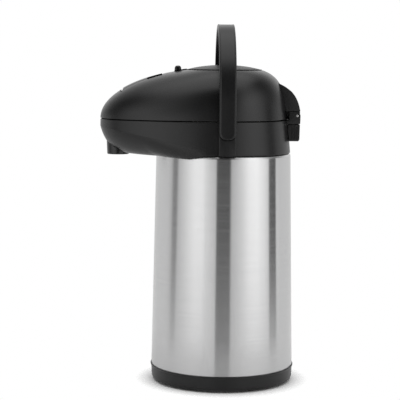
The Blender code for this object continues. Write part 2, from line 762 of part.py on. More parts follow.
def build_hinge_bracket():
    side_view = [(66.0, 297.0), (86.3, 297.0), (86.6, 301.0)]
    side_view += arc(KNUCKLE_R, range(0, 81, 20), *HINGE)
    side_view += [(80.6, 311.0), (73.7, 311.0), (73.7, 301.2), (66.0, 301.2)]
    cut(
        prism("hinge_bracket", side_view, "x", -17.8, 17.8, DARK),
        box("cut_between_ears", 12.4, 60, 92, 301.6, 320, DARK),
        collar_solid("cut_collar", 0.4),
        rod_x("cut_trough", HINGE, 4.4, -12.4, 12.4, DARK),
        rod_x("cut_ear_pin", HINGE, 1.6, -20, 20, DARK, 16),
    )
    rod_x("hinge_pin", HINGE, 1.35, -18.1, 18.1, BRIGHT, 16)


def build_hinge_release():
    tab = prism("hinge_release_slide", [
        (70.0, 277.6), (84.2, 277.6), (85.4, 278.4), (85.8, 279.6), (86.2, 296.4), (70.0, 296.4),
    ], "x", -17.4, 17.4, DARK)
    cut(tab, collar_solid("cut_collar_low", 0.6))
    for i, z in enumerate((281.0, 284.6, 288.2, 291.8)):
        cut(tab, box(f"cut_rib_{i}", 12, 84.8, 90, z, z + 1.6, DARK))


# ================= carry handle =================
STRAP_MID = (STRAP_IN + STRAP_OUT) / 2      # also the radius of the arch
HALF_THICK = (STRAP_OUT - STRAP_IN) / 2
ARCH_Z = HANDLE_TOP_Z - STRAP_OUT
ARCH_STEPS = 24


def strap_loop(cx, cz, nx, nz, half):
    """Section of the strap: thick along (nx, nz), wide along y, with chamfered edges."""
    chamfer, inner_chamfer = 1.5, 0.8
    half = max(half, 1.0)
    outer_y = half - min(chamfer * 1.2, half * 0.6)
    inner_y = half - min(inner_chamfer, half * 0.4)
    outer_t, inner_t = HALF_THICK - chamfer, -HALF_THICK + inner_chamfer
    edge = [(HALF_THICK, outer_y), (outer_t, half), (inner_t, half), (-HALF_THICK, inner_y)]
    section = edge + [(t, -w) for t, w in reversed(edge)]
    return [(cx + nx * t, STRAP_Y + w, cz + nz * t) for t, w in section]


def strap_end(side):
    """Stations of the rounded end, from its tip below the pivot up to the pivot."""
    stations = []
    radius = STRAP_W / 2
    for degrees in (86, 70, 52, 34, 16, 0):
        a = math.radians(degrees)
        z = PIVOT[1] - radius * math.sin(a)
        stations.append((side * STRAP_MID, z, side, 0.0, radius * math.cos(a)))
    return stations


def build_handle():
    stations = strap_end(1)
    for i in range(ARCH_STEPS + 1):
        a = math.pi * i / ARCH_STEPS
        c, s = math.cos(a), math.sin(a)
        stations.append((STRAP_MID * c, ARCH_Z + STRAP_MID * s, c, s, STRAP_W / 2))
    stations += reversed(strap_end(-1))
    handle = loft("carry_handle", [strap_loop(*s) for s in stations], BLACK, False)

    bore_r = 4.35
    for side, tag in ((1, "right"), (-1, "left")):
        ends = sorted((side * (STRAP_IN + 1.5), side * 69.9))
        add(handle, rod_x("add_trunnion_" + tag, PIVOT, 4.1, *ends, BLACK))
        # bush in the pad, flange under the strap
        pivot_ring("handle_bush_" + tag, [
            (6.15, 72.8), (6.15, 79.45), (7.9, 79.45), (7.9, 80.2), (bore_r, 80.2), (bore_r, 72.8),
        ], side, GREY, 28)
        pivot_ring("handle_clip_" + tag, [
            (bore_r, 70.9), (5.1, 70.9), (5.1, 72.3), (bore_r, 72.3),
        ], side, BRIGHT, 20)


# ================= joint axes =================
def on_axis(name, place, pieces, parent=None):
    """An empty on a joint's axis, parent of the moving pieces and of their helpers."""
    empty = bpy.data.objects.new(name, None)
    empty.empty_display_size = 0.02
    empty.location = [v * MM for v in place]
    bpy.context.scene.collection.objects.link(empty)
    for piece_name in pieces:
        piece = bpy.data.objects[piece_name]
        for child in [piece] + [m.object for m in piece.modifiers]:
            child.parent = empty
            child.matrix_parent_inverse = Matrix.Translation([-v * MM for v in place])
    if parent:
        empty.parent = parent
        empty.matrix_parent_inverse = Matrix.Translation([-v for v in parent.location])
    return empty


def build_axes():
    on_axis("axis_turntable", (0, 0, 0), ["turntable", "non_slip_ring"])
    on_axis("axis_valve_ball", (0, SIPHON_Y, BALL_Z), ["spill_valve_ball"])
    on_axis("axis_hinge_release", (0, 80, 287), ["hinge_release_slide"])
    lid = on_axis("axis_lid", (0, *HINGE), [
        "lid_cover", "lid_base", "plug_gasket", "air_valve_flap", "lid_hinge_arm",
        "latch_housing", "latch_pin", "bellows", "return_spring",
        *[f"lid_screw_{i + 1}" for i in range(len(SCREWS))],
    ])
    on_axis("axis_button", (0, 0, 352), ["pump_button"], lid)
    on_axis("axis_lock", (0, LOCK_Y, 352), ["lock_slider"], lid)
    on_axis("axis_latch", (0, *LATCH), ["latch_lever"], lid)
    bushes = on_axis("axis_handle_bushes", (0, *PIVOT), ["handle_bush_left", "handle_bush_right"])
    on_axis("axis_handle", (0, *PIVOT), [
        "carry_handle", "handle_clip_left", "handle_clip_right",
    ], bushes)


build_vacuum_body()
build_base()
build_shoulder()
build_nose_cover()
build_siphon()
build_lid_cover()
build_lid_base()
build_button()
build_bellows()
build_spring()
build_lock()
build_latch()
build_hinge_arm()
build_hinge_bracket()
build_hinge_release()
build_handle()
build_axes()
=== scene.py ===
"""Looks of a pump airpot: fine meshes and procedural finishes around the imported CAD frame.

The pot stands on z = 0 with its axis on Z. The nose and spout point to -Y, the hinge is at
+Y, and the handle's strap arches over the lid from +X to -X. The camera looks from +X.
Lengths are millimetres until they reach a mesh, which is in metres.
"""

import json
import math

import bmesh
import bpy
from mathutils import Matrix, Vector

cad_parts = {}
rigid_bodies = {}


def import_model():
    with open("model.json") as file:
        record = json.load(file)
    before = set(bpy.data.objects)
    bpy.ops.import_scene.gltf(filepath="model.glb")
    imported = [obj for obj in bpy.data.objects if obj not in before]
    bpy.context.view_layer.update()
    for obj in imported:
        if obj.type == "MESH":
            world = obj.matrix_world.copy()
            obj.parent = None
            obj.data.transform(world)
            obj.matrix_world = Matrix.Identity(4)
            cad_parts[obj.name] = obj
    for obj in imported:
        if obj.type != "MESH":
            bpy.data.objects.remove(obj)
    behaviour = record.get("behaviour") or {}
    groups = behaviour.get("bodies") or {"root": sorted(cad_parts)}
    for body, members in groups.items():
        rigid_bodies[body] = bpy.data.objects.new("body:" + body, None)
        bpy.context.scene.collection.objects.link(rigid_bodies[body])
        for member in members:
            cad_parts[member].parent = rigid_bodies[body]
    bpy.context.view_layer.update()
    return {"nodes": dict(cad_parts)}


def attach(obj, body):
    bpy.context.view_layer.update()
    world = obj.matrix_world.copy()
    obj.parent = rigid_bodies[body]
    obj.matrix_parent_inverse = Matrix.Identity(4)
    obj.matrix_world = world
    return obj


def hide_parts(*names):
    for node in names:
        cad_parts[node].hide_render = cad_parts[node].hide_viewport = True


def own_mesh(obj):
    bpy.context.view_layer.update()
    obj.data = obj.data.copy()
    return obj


for stray in list(bpy.data.objects):
    bpy.data.objects.remove(stray, do_unlink=True)

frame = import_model()
MM = 0.001

# ---- driving dimensions, as the CAD has them ----
SHELL_FOOT_R = 82.1          # shell radius at z = 0
SHELL_TAPER = 0.0192
SHELL_WALL = 0.8
SHELL_BOTTOM_Z = 17.1
COVER_GAP_R = 77.75          # inner edge of the nose cover, beside the shell
COLLAR_BOTTOM_Z = 263.9
SHOULDER_TOP_Z = 301.4
SEAM_Z = 302.3
WALL = 2.4                   # shoulder and lid walls
HEAD_R, REAR = 75.8, 73.2    # half width and rear depth of the head's outline
NOSE_LENGTH, NOSE_POWER = 141.3, 0.54
COVER_END_Y = -21.8          # where the nose cover meets the collar
PART_SLOPE, PART_Z = 0.19, 266.9
RIM_R, RIM_Z = 43.2, 357.9   # rim of the lid's button well
BUTTON_R, BUTTON_TOP_Z, BUTTON_TRAVEL = 42.1, 363.4, 22.0
HINGE_Y, HINGE_Z, KNUCKLE_R = 83.0, 306.5, 3.7
PIVOT_Y, PIVOT_Z = 2.6, 291.8
STRAP_Y = 1.4
HANDLE_IN, HANDLE_OUT, HANDLE_WIDTH, HANDLE_TOP_Z = 80.5, 86.0, 19.0, 409.7
LATCH_Y, LATCH_Z = -111.6, 331.0
SPOUT_Y = -121.0
SIPHON_Y = -24
HOSE_Z = 292.8
HOSE_OUTER_R, HOSE_INNER_R = 4.6, 3.2
AIR_HOLE_R = 3.2
LID_SCREWS = ((52, 30), (-52, 30), (38, -84), (-38, -84))  # x, y
OUTLINE_COUNTS = (96, 144)   # points on the rear and nose halves of the head's outline
SOLID_COUNTS = (72, 108)     # the same for plain inner solids


# =====================================================================
# materials
# =====================================================================
class Shader:
    """Writes a node tree. Values may be numbers, colours or output sockets."""

    def __init__(self, tree):
        self.tree = tree

    def add(self, kind, **settings):
        node = self.tree.nodes.new("ShaderNode" + kind)
        for key, value in settings.items():
            setattr(node, key, value)
        return node

    def put(self, socket, value):
        if isinstance(value, bpy.types.NodeSocket):
            self.tree.links.new(value, socket)
        else:
            socket.default_value = value

    def surface(self, values):
        """Sets inputs of the Principled shader by name."""
        inputs = self.tree.nodes["Principled BSDF"].inputs
        for key, value in values.items():
            self.put(inputs[key], value)

    def math(self, operation, first, second):
        node = self.add("Math", operation=operation)
        for socket, value in zip(node.inputs, (first, second, 0.0)):
            self.put(socket, value)
        return node.outputs[0]

    def plus(self, first, second):
        return self.math("ADD", first, second)

    def times(self, first, second):
        return self.math("MULTIPLY", first, second)

    def rest(self, value):
        return self.math("SUBTRACT", 1.0, value)

    def span(self, value, of=(0.3, 0.7), to=(0.0, 1.0)):
        """Maps one range to another, clamped."""
        node = self.add("MapRange", clamp=True)
        for socket, number in zip(node.inputs[:5], (value, *of, *to)):
            self.put(socket, number)
        return node.outputs[0]

    def coords(self, stretch=(1, 1, 1)):
        """Object coordinates, stretched."""
        source = self.add("TexCoord")
        mapping = self.add("Mapping")
        mapping.inputs["Scale"].default_value = stretch
        self.put(mapping.inputs["Vector"], source.outputs["Object"])
        return mapping.outputs["Vector"]

    def noise(self, scale, detail, rough, stretch=(1, 1, 1)):
        node = self.add("TexNoise")
        node.inputs["Scale"].default_value = scale
        node.inputs["Detail"].default_value = detail
        node.inputs["Roughness"].default_value = rough
        self.put(node.inputs["Vector"], self.coords(stretch))
        return node.outputs["Fac"]

    def voronoi(self, scale):
        node = self.add("TexVoronoi")
        node.inputs["Scale"].default_value = scale
        self.put(node.inputs["Vector"], self.coords())
        return node.outputs["Distance"]

    def mix(self, factor, first, second):
        """Mixes two colours."""
        node = self.add("Mix", data_type="RGBA")
        self.put(node.inputs[0], factor)
        for socket, colour in ((node.inputs[6], first), (node.inputs[7], second)):
            self.put(socket, (*colour, 1) if isinstance(colour, tuple) else colour)
        return node.outputs[2]

    def bump(self, height, strength, distance):
        node = self.add("Bump")
        node.inputs["Strength"].default_value = strength
        node.inputs["Distance"].default_value = distance
        self.put(node.inputs["Height"], height)
        return node.outputs["Normal"]

    def by_ray(self, others, camera):
        """One value for what the camera sees directly, another for all other rays."""
        path = self.add("LightPath")
        node = self.add("Mix", data_type="FLOAT")
        self.put(node.inputs[0], path.outputs["Is Camera Ray"])
        self.put(node.inputs[2], others)
        self.put(node.inputs[3], camera)
        return node.outputs[0]


def new_material(name):
    material = bpy.data.materials.new(name)
    material.use_nodes = True
    return material, Shader(material.node_tree)


def paler(colour, gain, lift):
    return tuple(min(1.0, channel * gain + lift) for channel in colour)


def moulded(name, dark, light, rough, spread=0.07, specular=0.5, coat=0.0,
            grain=900.0, grain_depth=0.00004, grain_strength=0.25, edge_wear=0.25):
    """Moulded plastic: fine eroded grain, slow gloss changes, faint wear on edges."""
    material, shader = new_material(name)
    slow = shader.noise(scale=18.0, detail=3.0, rough=0.55)
    fine = shader.noise(scale=grain, detail=2.0, rough=0.6)
    pits = shader.voronoi(scale=grain * 0.8)
    specks = shader.noise(scale=grain * 0.4, detail=4.0, rough=0.7)
    colour = shader.mix(shader.span(slow), dark, light)
    speckle = shader.times(shader.span(specks, of=(0.56, 0.72)), 0.35)
    colour = shader.mix(speckle, colour, paler(light, gain=1.7, lift=0.002))
    # rubbed edges are a little paler
    geometry = shader.add("NewGeometry")
    edge = shader.span(geometry.outputs["Pointiness"], of=(0.515, 0.60), to=(0.0, edge_wear))
    worn = shader.times(edge, shader.span(slow, of=(0.35, 0.65), to=(0.4, 1.0)))
    colour = shader.mix(worn, colour, paler(light, gain=2.2, lift=0.006))
    gloss = shader.span(slow, of=(0.25, 0.75), to=(rough - spread, rough + spread))
    height = shader.plus(fine, shader.times(pits, 0.6))
    shader.surface({
        "Base Color": colour,
        "Roughness": shader.plus(gloss, shader.span(fine, to=(-0.04, 0.04))),
        "Specular IOR Level": specular,
        "Coat Weight": coat,
        "Coat Roughness": 0.12,
        "Normal": shader.bump(height, strength=grain_strength, distance=grain_depth)})
    return material


def brushed_steel(name):
    """Stainless steel brushed round its axis: fine rings of gloss, blurred up and down."""
    material, shader = new_material(name)
    hair = shader.noise(scale=1.0, detail=3.0, rough=0.65, stretch=(9, 9, 3600))
    wide = shader.noise(scale=1.0, detail=2.0, rough=0.5, stretch=(5, 5, 420))
    dash = shader.noise(scale=1.0, detail=4.0, rough=0.6, stretch=(70, 70, 6400))
    haze = shader.noise(scale=9.0, detail=2.0, rough=0.5)
    colour = shader.mix(shader.span(hair), (0.635, 0.635, 0.64), (0.685, 0.685, 0.685))
    dashes = shader.times(shader.span(dash, of=(0.60, 0.74)), 0.10)
    colour = shader.mix(dashes, colour, (0.50, 0.50, 0.51))
    rings = shader.times(shader.span(wide, of=(0.35, 0.65)), 0.05)
    colour = shader.mix(rings, colour, (0.78, 0.78, 0.78))
    fine_gloss = shader.plus(shader.span(hair, to=(-0.022, 0.022)),
                             shader.span(haze, to=(-0.005, 0.005)))
    tangent = shader.add("Tangent", direction_type="RADIAL", axis="Z")
    height = shader.plus(shader.times(hair, 0.7), shader.times(dash, 0.5))
    shader.surface({
        "Metallic": 1.0,
        "Base Color": colour,
        "Roughness": shader.plus(shader.span(wide, to=(0.178, 0.212)), fine_gloss),
        "Anisotropic": 1.0,
        "Anisotropic Rotation": 0.25,
        "Tangent": tangent.outputs["Tangent"],
        "Normal": shader.bump(height, strength=0.05, distance=0.00001)})
    return material


def drawn_steel(name, rough, tone):
    """Turned or drawn bright steel for the vessel, tube, pins and screws."""
    material, shader = new_material(name)
    rings = shader.noise(scale=1.0, detail=3.0, rough=0.6, stretch=(60, 60, 1500))
    cloud = shader.noise(scale=30.0, detail=3.0, rough=0.5)
    ring_gloss = shader.span(rings, to=(rough - 0.05, rough + 0.05))
    shader.surface({
        "Metallic": 1.0,
        "Base Color": shader.mix(shader.span(cloud), (tone * 0.9,) * 3, (tone, tone, tone * 0.985)),
        "Roughness": shader.plus(ring_gloss, shader.span(cloud, to=(-0.03, 0.05))),
        "Normal": shader.bump(rings, strength=0.15, distance=0.00003)})
    return material


def soft_rubber(name, dark, light, rough, sheen, subsurface=0.0):
    """Rubber or silicone: dull and cloudy, with a faint moulded skin."""
    material, shader = new_material(name)
    cloud = shader.noise(scale=26.0, detail=4.0, rough=0.6)
    skin = shader.noise(scale=1400.0, detail=2.0, rough=0.5)
    cloud_gloss = shader.span(cloud, to=(rough - 0.06, rough + 0.06))
    shader.surface({
        "Base Color": shader.mix(shader.span(cloud), dark, light),
        "Roughness": shader.plus(cloud_gloss, shader.span(skin, to=(-0.03, 0.03))),
        "Sheen Weight": sheen,
        "Subsurface Weight": subsurface,
        "Subsurface Radius": (0.002, 0.0016, 0.0012),
        "Normal": shader.bump(skin, strength=0.25, distance=0.00005)})
    return material


BLACK = dict(dark=(0.0018, 0.0018, 0.0020), light=(0.0034, 0.0034, 0.0037), spread=0.03)
MATT = dict(rough=0.62, grain=600.0, grain_depth=0.00012, grain_strength=0.6, specular=0.0)

M_STEEL = brushed_steel("steel_brushed_round")
M_VESSEL = drawn_steel("steel_vessel", rough=0.24, tone=0.74)
M_BRIGHT = drawn_steel("steel_bright", rough=0.2, tone=0.8)
M_LID = moulded("plastic_lid", rough=0.30, **BLACK)
M_COLLAR = moulded("plastic_collar", rough=0.31, **BLACK)
M_HANDLE = moulded("plastic_handle", rough=0.33, **BLACK)
M_BASE = moulded("plastic_base", dark=(0.0012, 0.0012, 0.0014), light=(0.0026, 0.0026, 0.0029),
                 rough=0.34, spread=0.03)
M_BUTTON = moulded("plastic_button", dark=(0.008, 0.008, 0.0084), light=(0.0125, 0.0125, 0.013),
                   rough=0.40, spread=0.03, specular=0.36)
M_HINGE = moulded("plastic_hinge", dark=(0.0008, 0.0008, 0.0009), light=(0.0055, 0.0055, 0.0058),
                  rough=0.44, spread=0.10, specular=0.45,
                  grain=520.0, grain_depth=0.00016, grain_strength=0.8)
# near-black matt material without specular: painted shade for gaps, seams and recess walls
M_SHADE = moulded("painted_shade_black", dark=(0.0008, 0.0008, 0.0009), light=(0.0020, 0.0020, 0.0021),
                 edge_wear=0.0, **MATT)
M_PAD = moulded("plastic_latch_grip_pad", dark=(0.0075, 0.0075, 0.0078), light=(0.013, 0.013, 0.0134),
                edge_wear=0.4, **MATT)
M_GLOSS = moulded("plastic_gloss", dark=(0.0016, 0.0016, 0.0018), light=(0.0030, 0.0030, 0.0033),
                  rough=0.26, grain=700.0, grain_strength=0.10, coat=0.12)
M_GREY = moulded("plastic_grey", dark=(0.24, 0.24, 0.25), light=(0.31, 0.31, 0.32),
                 rough=0.5, edge_wear=0.0)
M_RUBBER = soft_rubber("rubber_foot", dark=(0.014, 0.014, 0.014), light=(0.028, 0.028, 0.027),
                       rough=0.82, sheen=0.1)
M_SILICONE = soft_rubber("silicone_seal", dark=(0.62, 0.60, 0.55), light=(0.76, 0.74, 0.69),
                         rough=0.55, sheen=0.15, subsurface=0.2)

# =====================================================================
# mesh helpers
# =====================================================================
EDGE_ANGLE = 32.0       # degrees; edges that turn more are sharp
CUT, JOIN, KEEP_INSIDE = "DIFFERENCE", "UNION", "INTERSECT"


def clamp(value, low=0.0, high=1.0):
    return max(low, min(value, high))


def smooth(value):
    return value * value * (3 - 2 * value)


def bisect(below, low, high, rounds):
    """The greatest value for which below() still holds."""
    for _ in range(rounds):
        middle = (low + high) / 2
        low, high = (middle, high) if below(middle) else (low, middle)
    return low


def polish(mesh, angle):
    mesh.shade_smooth()
    mesh.set_sharp_from_angle(angle=math.radians(angle))


def finish_mesh(name, bm, angle=EDGE_ANGLE):
    """A bmesh in millimetres becomes an object in metres whose faces point out."""
    bmesh.ops.remove_doubles(bm, verts=bm.verts, dist=2e-4)
    bmesh.ops.scale(bm, vec=(MM, MM, MM), verts=bm.verts)
    bmesh.ops.recalc_face_normals(bm, faces=bm.faces)
    if bm.calc_volume(signed=True) < 0:
        bmesh.ops.reverse_faces(bm, faces=bm.faces)
    mesh = bpy.data.meshes.new(name)
    bm.to_mesh(mesh)
    bm.free()
    polish(mesh, angle)
    return place(name, mesh)


def place(name, data):
    obj = bpy.data.objects.new(name, data)
    bpy.context.scene.collection.objects.link(obj)
    return obj


def bridge(bm, first, second, closed=True):
    """Faces between two rows of vertices. Repeated vertices give triangles."""
    count = len(first)
    for i in range(count if closed else count - 1):
        k = (i + 1) % count
        corners = list(dict.fromkeys((first[i], first[k], second[k], second[i])))
        if len(corners) > 2:
            bm.faces.new(corners)


def loft(name, loops, cyclic=True, bevel=0.0):
    """A skin over closed loops. It is capped unless the loops themselves form a ring."""
    bm = bmesh.new()
    rows = [[bm.verts.new(point) for point in loop] for loop in loops]
    for i in range(len(rows) if cyclic else len(rows) - 1):
        bridge(bm, rows[i], rows[(i + 1) % len(rows)])
    if not cyclic:
        bm.faces.new(rows[0])
        bm.faces.new(list(reversed(rows[-1])))
    if bevel:
        round_edges(bm, bevel)
    return finish_mesh(name, bm)


def round_edges(bm, width):
    """Rounds every sharp edge."""
    bmesh.ops.remove_doubles(bm, verts=bm.verts, dist=2e-4)
    bmesh.ops.recalc_face_normals(bm, faces=bm.faces)
    bm.normal_update()
    limit = math.radians(EDGE_ANGLE)
    sharp = [e for e in bm.edges if len(e.link_faces) == 2 and e.calc_face_angle(0.0) > limit]
    if sharp:
        bmesh.ops.bevel(bm, geom=sharp, offset=width, offset_type="OFFSET", segments=3,
                        profile=0.5, affect="EDGES", clamp_overlap=True)


def fillet(points, radius, steps, closed=True):
    """Rounds the corners of an outline. radius is one number, or a list with one per point."""
    count = len(points)
    out = []
    for i, corner in enumerate(points):
        size = radius[i] if isinstance(radius, list) else radius
        if size <= 0 or (not closed and i in (0, count - 1)):
            out.append(corner)
            continue
        before, after = points[i - 1], points[(i + 1) % count]
        back = (before[0] - corner[0], before[1] - corner[1])
        ahead = (after[0] - corner[0], after[1] - corner[1])
        back_length, ahead_length = math.hypot(*back), math.hypot(*ahead)
        cosine = (back[0] * ahead[0] + back[1] * ahead[1]) / back_length / ahead_length
        angle = math.acos(clamp(cosine, -1.0, 1.0))
        if angle > math.radians(172):
            out.append(corner)
            continue
        trim = min(size / math.tan(angle / 2), 0.46 * back_length, 0.46 * ahead_length)
        start = [corner[k] + back[k] / back_length * trim for k in (0, 1)]
        end = [corner[k] + ahead[k] / ahead_length * trim for k in (0, 1)]
        for j in range(steps + 1):
            s = j / steps
            out.append(tuple((1 - s) ** 2 * start[k] + 2 * s * (1 - s) * corner[k]
                             + s * s * end[k] for k in (0, 1)))
    return out


def revolve(name, profile, radius=0.0, steps=0, seg=128, centre=(0.0, 0.0)):
    """Turns a profile of (r, z), its corners rounded.

    The profile is a closed ring, or starts and ends on the axis.
    """
    on_axis = profile[0][0] < 1e-6
    bm = bmesh.new()
    cx, cy = centre
    rows = []
    for r, z in fillet(profile, radius, steps, closed=not on_axis):
        if r < 1e-6:
            rows.append([bm.verts.new((cx, cy, z))] * seg)
            continue
        turns = [2 * math.pi * i / seg for i in range(seg)]
        rows.append([bm.verts.new((cx + r * math.cos(turn), cy + r * math.sin(turn), z))
                     for turn in turns])
    for i in range(len(rows) - on_axis):
        bridge(bm, rows[i], rows[(i + 1) % len(rows)])
    return finish_mesh(name, bm)


def rect(a0, a1, b0, b1):
    return [(a0, b0), (a1, b0), (a1, b1), (a0, b1)]


def rounded_rect(width, height, corner, centre=(0.0, 0.0), per=5):
    out = []
    a, b = width / 2 - corner, height / 2 - corner
    for ca, cb, start in ((a, b, 0), (-a, b, 90), (-a, -b, 180), (a, -b, 270)):
        for i in range(per + 1):
            turn = math.radians(start + 90 * i / per)
            out.append((ca + corner * math.cos(turn) + centre[0],
                        cb + corner * math.sin(turn) + centre[1]))
    return out


def circle(ca, cb, radius, count):
    turns = [2 * math.pi * i / count for i in range(count)]
    return [(ca + radius * math.cos(turn), cb + radius * math.sin(turn)) for turn in turns]


def arc(ca, cb, radius, degrees):
    turns = [math.radians(degree) for degree in degrees]
    return [(ca + radius * math.cos(turn), cb + radius * math.sin(turn)) for turn in turns]


def prism(name, outline_points, axis, low, high, bevel=0.0):
    """Extrudes an outline along an axis. It is (y, z) for x, (x, z) for y, (x, y) for z."""
    put = {"x": lambda a, b, t: (t, a, b),
           "y": lambda a, b, t: (a, t, b),
           "z": lambda a, b, t: (a, b, t)}[axis]
    loops = [[put(a, b, t) for a, b in outline_points] for t in (low, high)]
    return loft(name, loops, cyclic=False, bevel=bevel)


def box(name, x0, x1, y0, y1, z0, z1, bevel=0.0):
    return prism(name, rect(x0, x1, y0, y1), "z", z0, z1, bevel)


def rod_x(name, y, z, radius, x0, x1, seg=48, bevel=0.0):
    return prism(name, circle(y, z, radius, seg), "x", x0, x1, bevel)


def rod_z(name, x, y, radius, z0, z1, seg=48):
    return prism(name, circle(x, y, radius, seg), "z", z0, z1)


def on_side(side, a, b):
    """Two x places on one side of the pot, in rising order."""
    return sorted((side * a, side * b))


def ring_x(name, section, side, seg):
    """A ring round the handle's pivot. The section is (r, x)."""
    loops = []
    for i in range(seg):
        turn = 2 * math.pi * i / seg
        loops.append([(side * x, PIVOT_Y + r * math.cos(turn), PIVOT_Z + r * math.sin(turn))
                      for r, x in section])
    return loft(name, loops)


def hose(name, path, seg=40):
    """A hollow hose along a path of (y, z) in the middle plane."""
    directions = []
    for i in range(len(path)):
        before, after = path[max(i - 1, 0)], path[min(i + 1, len(path) - 1)]
        length = math.hypot(after[0] - before[0], after[1] - before[1])
        directions.append(((after[0] - before[0]) / length, (after[1] - before[1]) / length))
    stations = list(zip(path, directions))
    loops = []
    for i in range(seg):
        turn = 2 * math.pi * i / seg
        loop = []
        for r, order in ((HOSE_OUTER_R, stations), (HOSE_INNER_R, reversed(stations))):
            for (y, z), (dy, dz) in order:
                loop.append((r * math.cos(turn),
                             y - r * math.sin(turn) * dz,
                             z + r * math.sin(turn) * dy))
        loops.append(loop)
    return loft(name, loops)


def carve(target, steps, angle=EDGE_ANGLE):
    """Runs Booleans in turn and bakes them. steps is [(operation, helper object), ...]."""
    for operation, other in steps:
        modifier = target.modifiers.new("cut", "BOOLEAN")
        modifier.operation = operation
        modifier.object = other
        modifier.solver = "EXACT"
    bpy.context.view_layer.update()
    depsgraph = bpy.context.evaluated_depsgraph_get()
    baked = bpy.data.meshes.new_from_object(target.evaluated_get(depsgraph))
    target.modifiers.clear()
    old = target.data
    target.data = baked
    bpy.data.meshes.remove(old)
    for _, other in steps:
        bpy.data.objects.remove(other, do_unlink=True)
    bm = bmesh.new()
    bm.from_mesh(target.data)
    bmesh.ops.remove_doubles(bm, verts=bm.verts, dist=2e-7)
    bmesh.ops.dissolve_degenerate(bm, edges=bm.edges, dist=2e-7)
    bm.to_mesh(target.data)
    bm.free()
    polish(target.data, angle)
    return target


def piece(obj, body, material, node=None):
    """Gives a piece its finish, its body and the CAD node it stands for."""
    obj.data.materials.clear()
    obj.data.materials.append(material)
    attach(obj, body)
    if node:
        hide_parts(node)
    return obj


def paint_shade(obj, chosen):
    """Paints the chosen faces near-black and matt, as painted shade."""
    obj.data.materials.append(M_SHADE)
    for face in obj.data.polygons:
        if chosen(face):
            face.material_index = 1


# ---- the head's outline, dome and collar, as in the CAD ----
def outline(rear_count, nose_count):
    points = []
    for i in range(rear_count):
        turn = math.pi * i / rear_count
        points.append((HEAD_R * math.cos(turn), REAR * math.sin(turn)))
    for i in range(nose_count):
        turn = math.pi * i / nose_count
        c = math.cos(turn)
        points.append((-HEAD_R * math.copysign(abs(c) ** (2 * NOSE_POWER), c),
                       -NOSE_LENGTH * math.sin(turn)))
    return points


def inset_outline(counts, inset):
    points = outline(*counts)
    out = []
    for i, (x, y) in enumerate(points):
        before, after = points[i - 1], points[(i + 1) % len(points)]
        dx, dy = after[0] - before[0], after[1] - before[1]
        length = math.hypot(dx, dy)
        out.append((x - inset * dy / length, y + inset * dx / length))
    return out


def half_width(y):
    if y >= 0:
        return HEAD_R * math.sqrt(max(1 - (y / REAR) ** 2, 0))
    return HEAD_R * max(1 - (y / NOSE_LENGTH) ** 2, 0) ** NOSE_POWER


def at_radius(x, y, radius, z):
    """The point at a radius on the ray from the axis through (x, y)."""
    distance = math.hypot(x, y)
    return (x / distance * radius, y / distance * radius, z)


def dome_numbers(x, y):
    """Foot radius, power, full height and draft of the dome's curve over an outline point."""
    foot = math.hypot(x, y)
    toward = y / foot
    share = smooth(abs(toward))
    power = 3.0 + (0.7 if toward > 0 else -1.0) * share
    draft = 0.07 + (0.04 if toward > 0 else -0.07) * share
    rise = RIM_Z - SEAM_Z
    full = rise / (1 - (RIM_R / (foot - draft * rise)) ** power) ** (1 / power)
    return foot, power, full, draft


def dome_r(foot, power, full, draft, height):
    return (foot - draft * height) * max(1 - (height / full) ** power, 0.0) ** (1 / power)


def dome_z(x, y):
    """Height of the lid's outer surface above a plan point outside the button well."""
    distance = math.hypot(x, y)

    def inside(scale):
        px, py = x * scale, y * scale
        return REAR > py > -NOSE_LENGTH and abs(px) < half_width(py)

    scale = bisect(inside, 1.0, 6.0, rounds=45)
    numbers = dome_numbers(x * scale, y * scale)
    return SEAM_Z + bisect(lambda height: dome_r(*numbers, height) > distance,
                           0.0, numbers[2], rounds=40)


def ridge_z(y):
    """Height of the lid along its middle plane."""
    return dome_z(0.01, y)


def dome_curve(x, y, levels, inset, top_r, spacing):
    """Points up the dome over one outline point, from the seam to top_r, moved in by inset."""
    foot, power, full, draft = dome_numbers(x, y)

    def height_at(psi):
        return full * math.sin(psi) ** (2 / power)

    top = bisect(lambda psi: dome_r(foot, power, full, draft, height_at(psi)) > top_r,
                 0.0, math.pi / 2, rounds=40)
    out = []
    for i in range(levels + 1):
        psi = top * (i / levels) ** spacing
        height = height_at(psi)
        share, base = math.cos(psi) ** (2 / power), foot - draft * height
        # the surface normal
        nr = share ** (power - 1) / base
        nz = (max(height, 1e-6) / full) ** (power - 1) / full + share**power * draft / base
        length = math.hypot(nr, nz)
        out.append(at_radius(x, y, share * base - inset * nr / length,
                             SEAM_Z + height - inset * nz / length))
    return out


def dome_solid(name, inset):
    """The whole dome as a solid, moved in from its outer surface by inset."""
    bm = bmesh.new()
    rows = []
    for x, y in outline(48, 72):
        foot = at_radius(x, y, math.hypot(x, y) - inset, 290.0)
        curve = dome_curve(x, y, levels=20, inset=inset, top_r=RIM_R, spacing=1.2)
        rows.append([bm.verts.new(point) for point in [foot] + curve])
    for i in range(len(rows)):
        bridge(bm, rows[i], rows[(i + 1) % len(rows)], closed=False)
    bm.faces.new([row[0] for row in rows])
    bm.faces.new([row[-1] for row in rows])
    return finish_mesh(name, bm)


def on_wall(x, y, z, offset):
    """A point of the collar's wall under an outline point. The wall widens downwards."""
    radius = math.hypot(x, y)
    nose, rear = max(0.0, -y / radius) ** 2, max(0.0, y / radius) ** 2
    depth = clamp((SHOULDER_TOP_Z - z) / 37.0)
    scale = 1 + (0.013 + 0.033 * rear - 0.009 * nose) * depth
    return at_radius(x, y, radius * scale + offset, z)


def collar_solid(name, gap):
    """The collar as a solid, moved out by gap."""
    plan = outline(*SOLID_COUNTS)
    levels = [[on_wall(x, y, z, gap) for x, y in plan] for z in (262.0, 264.4, 283.0, 302.0)]
    return loft(name, levels, cyclic=False)


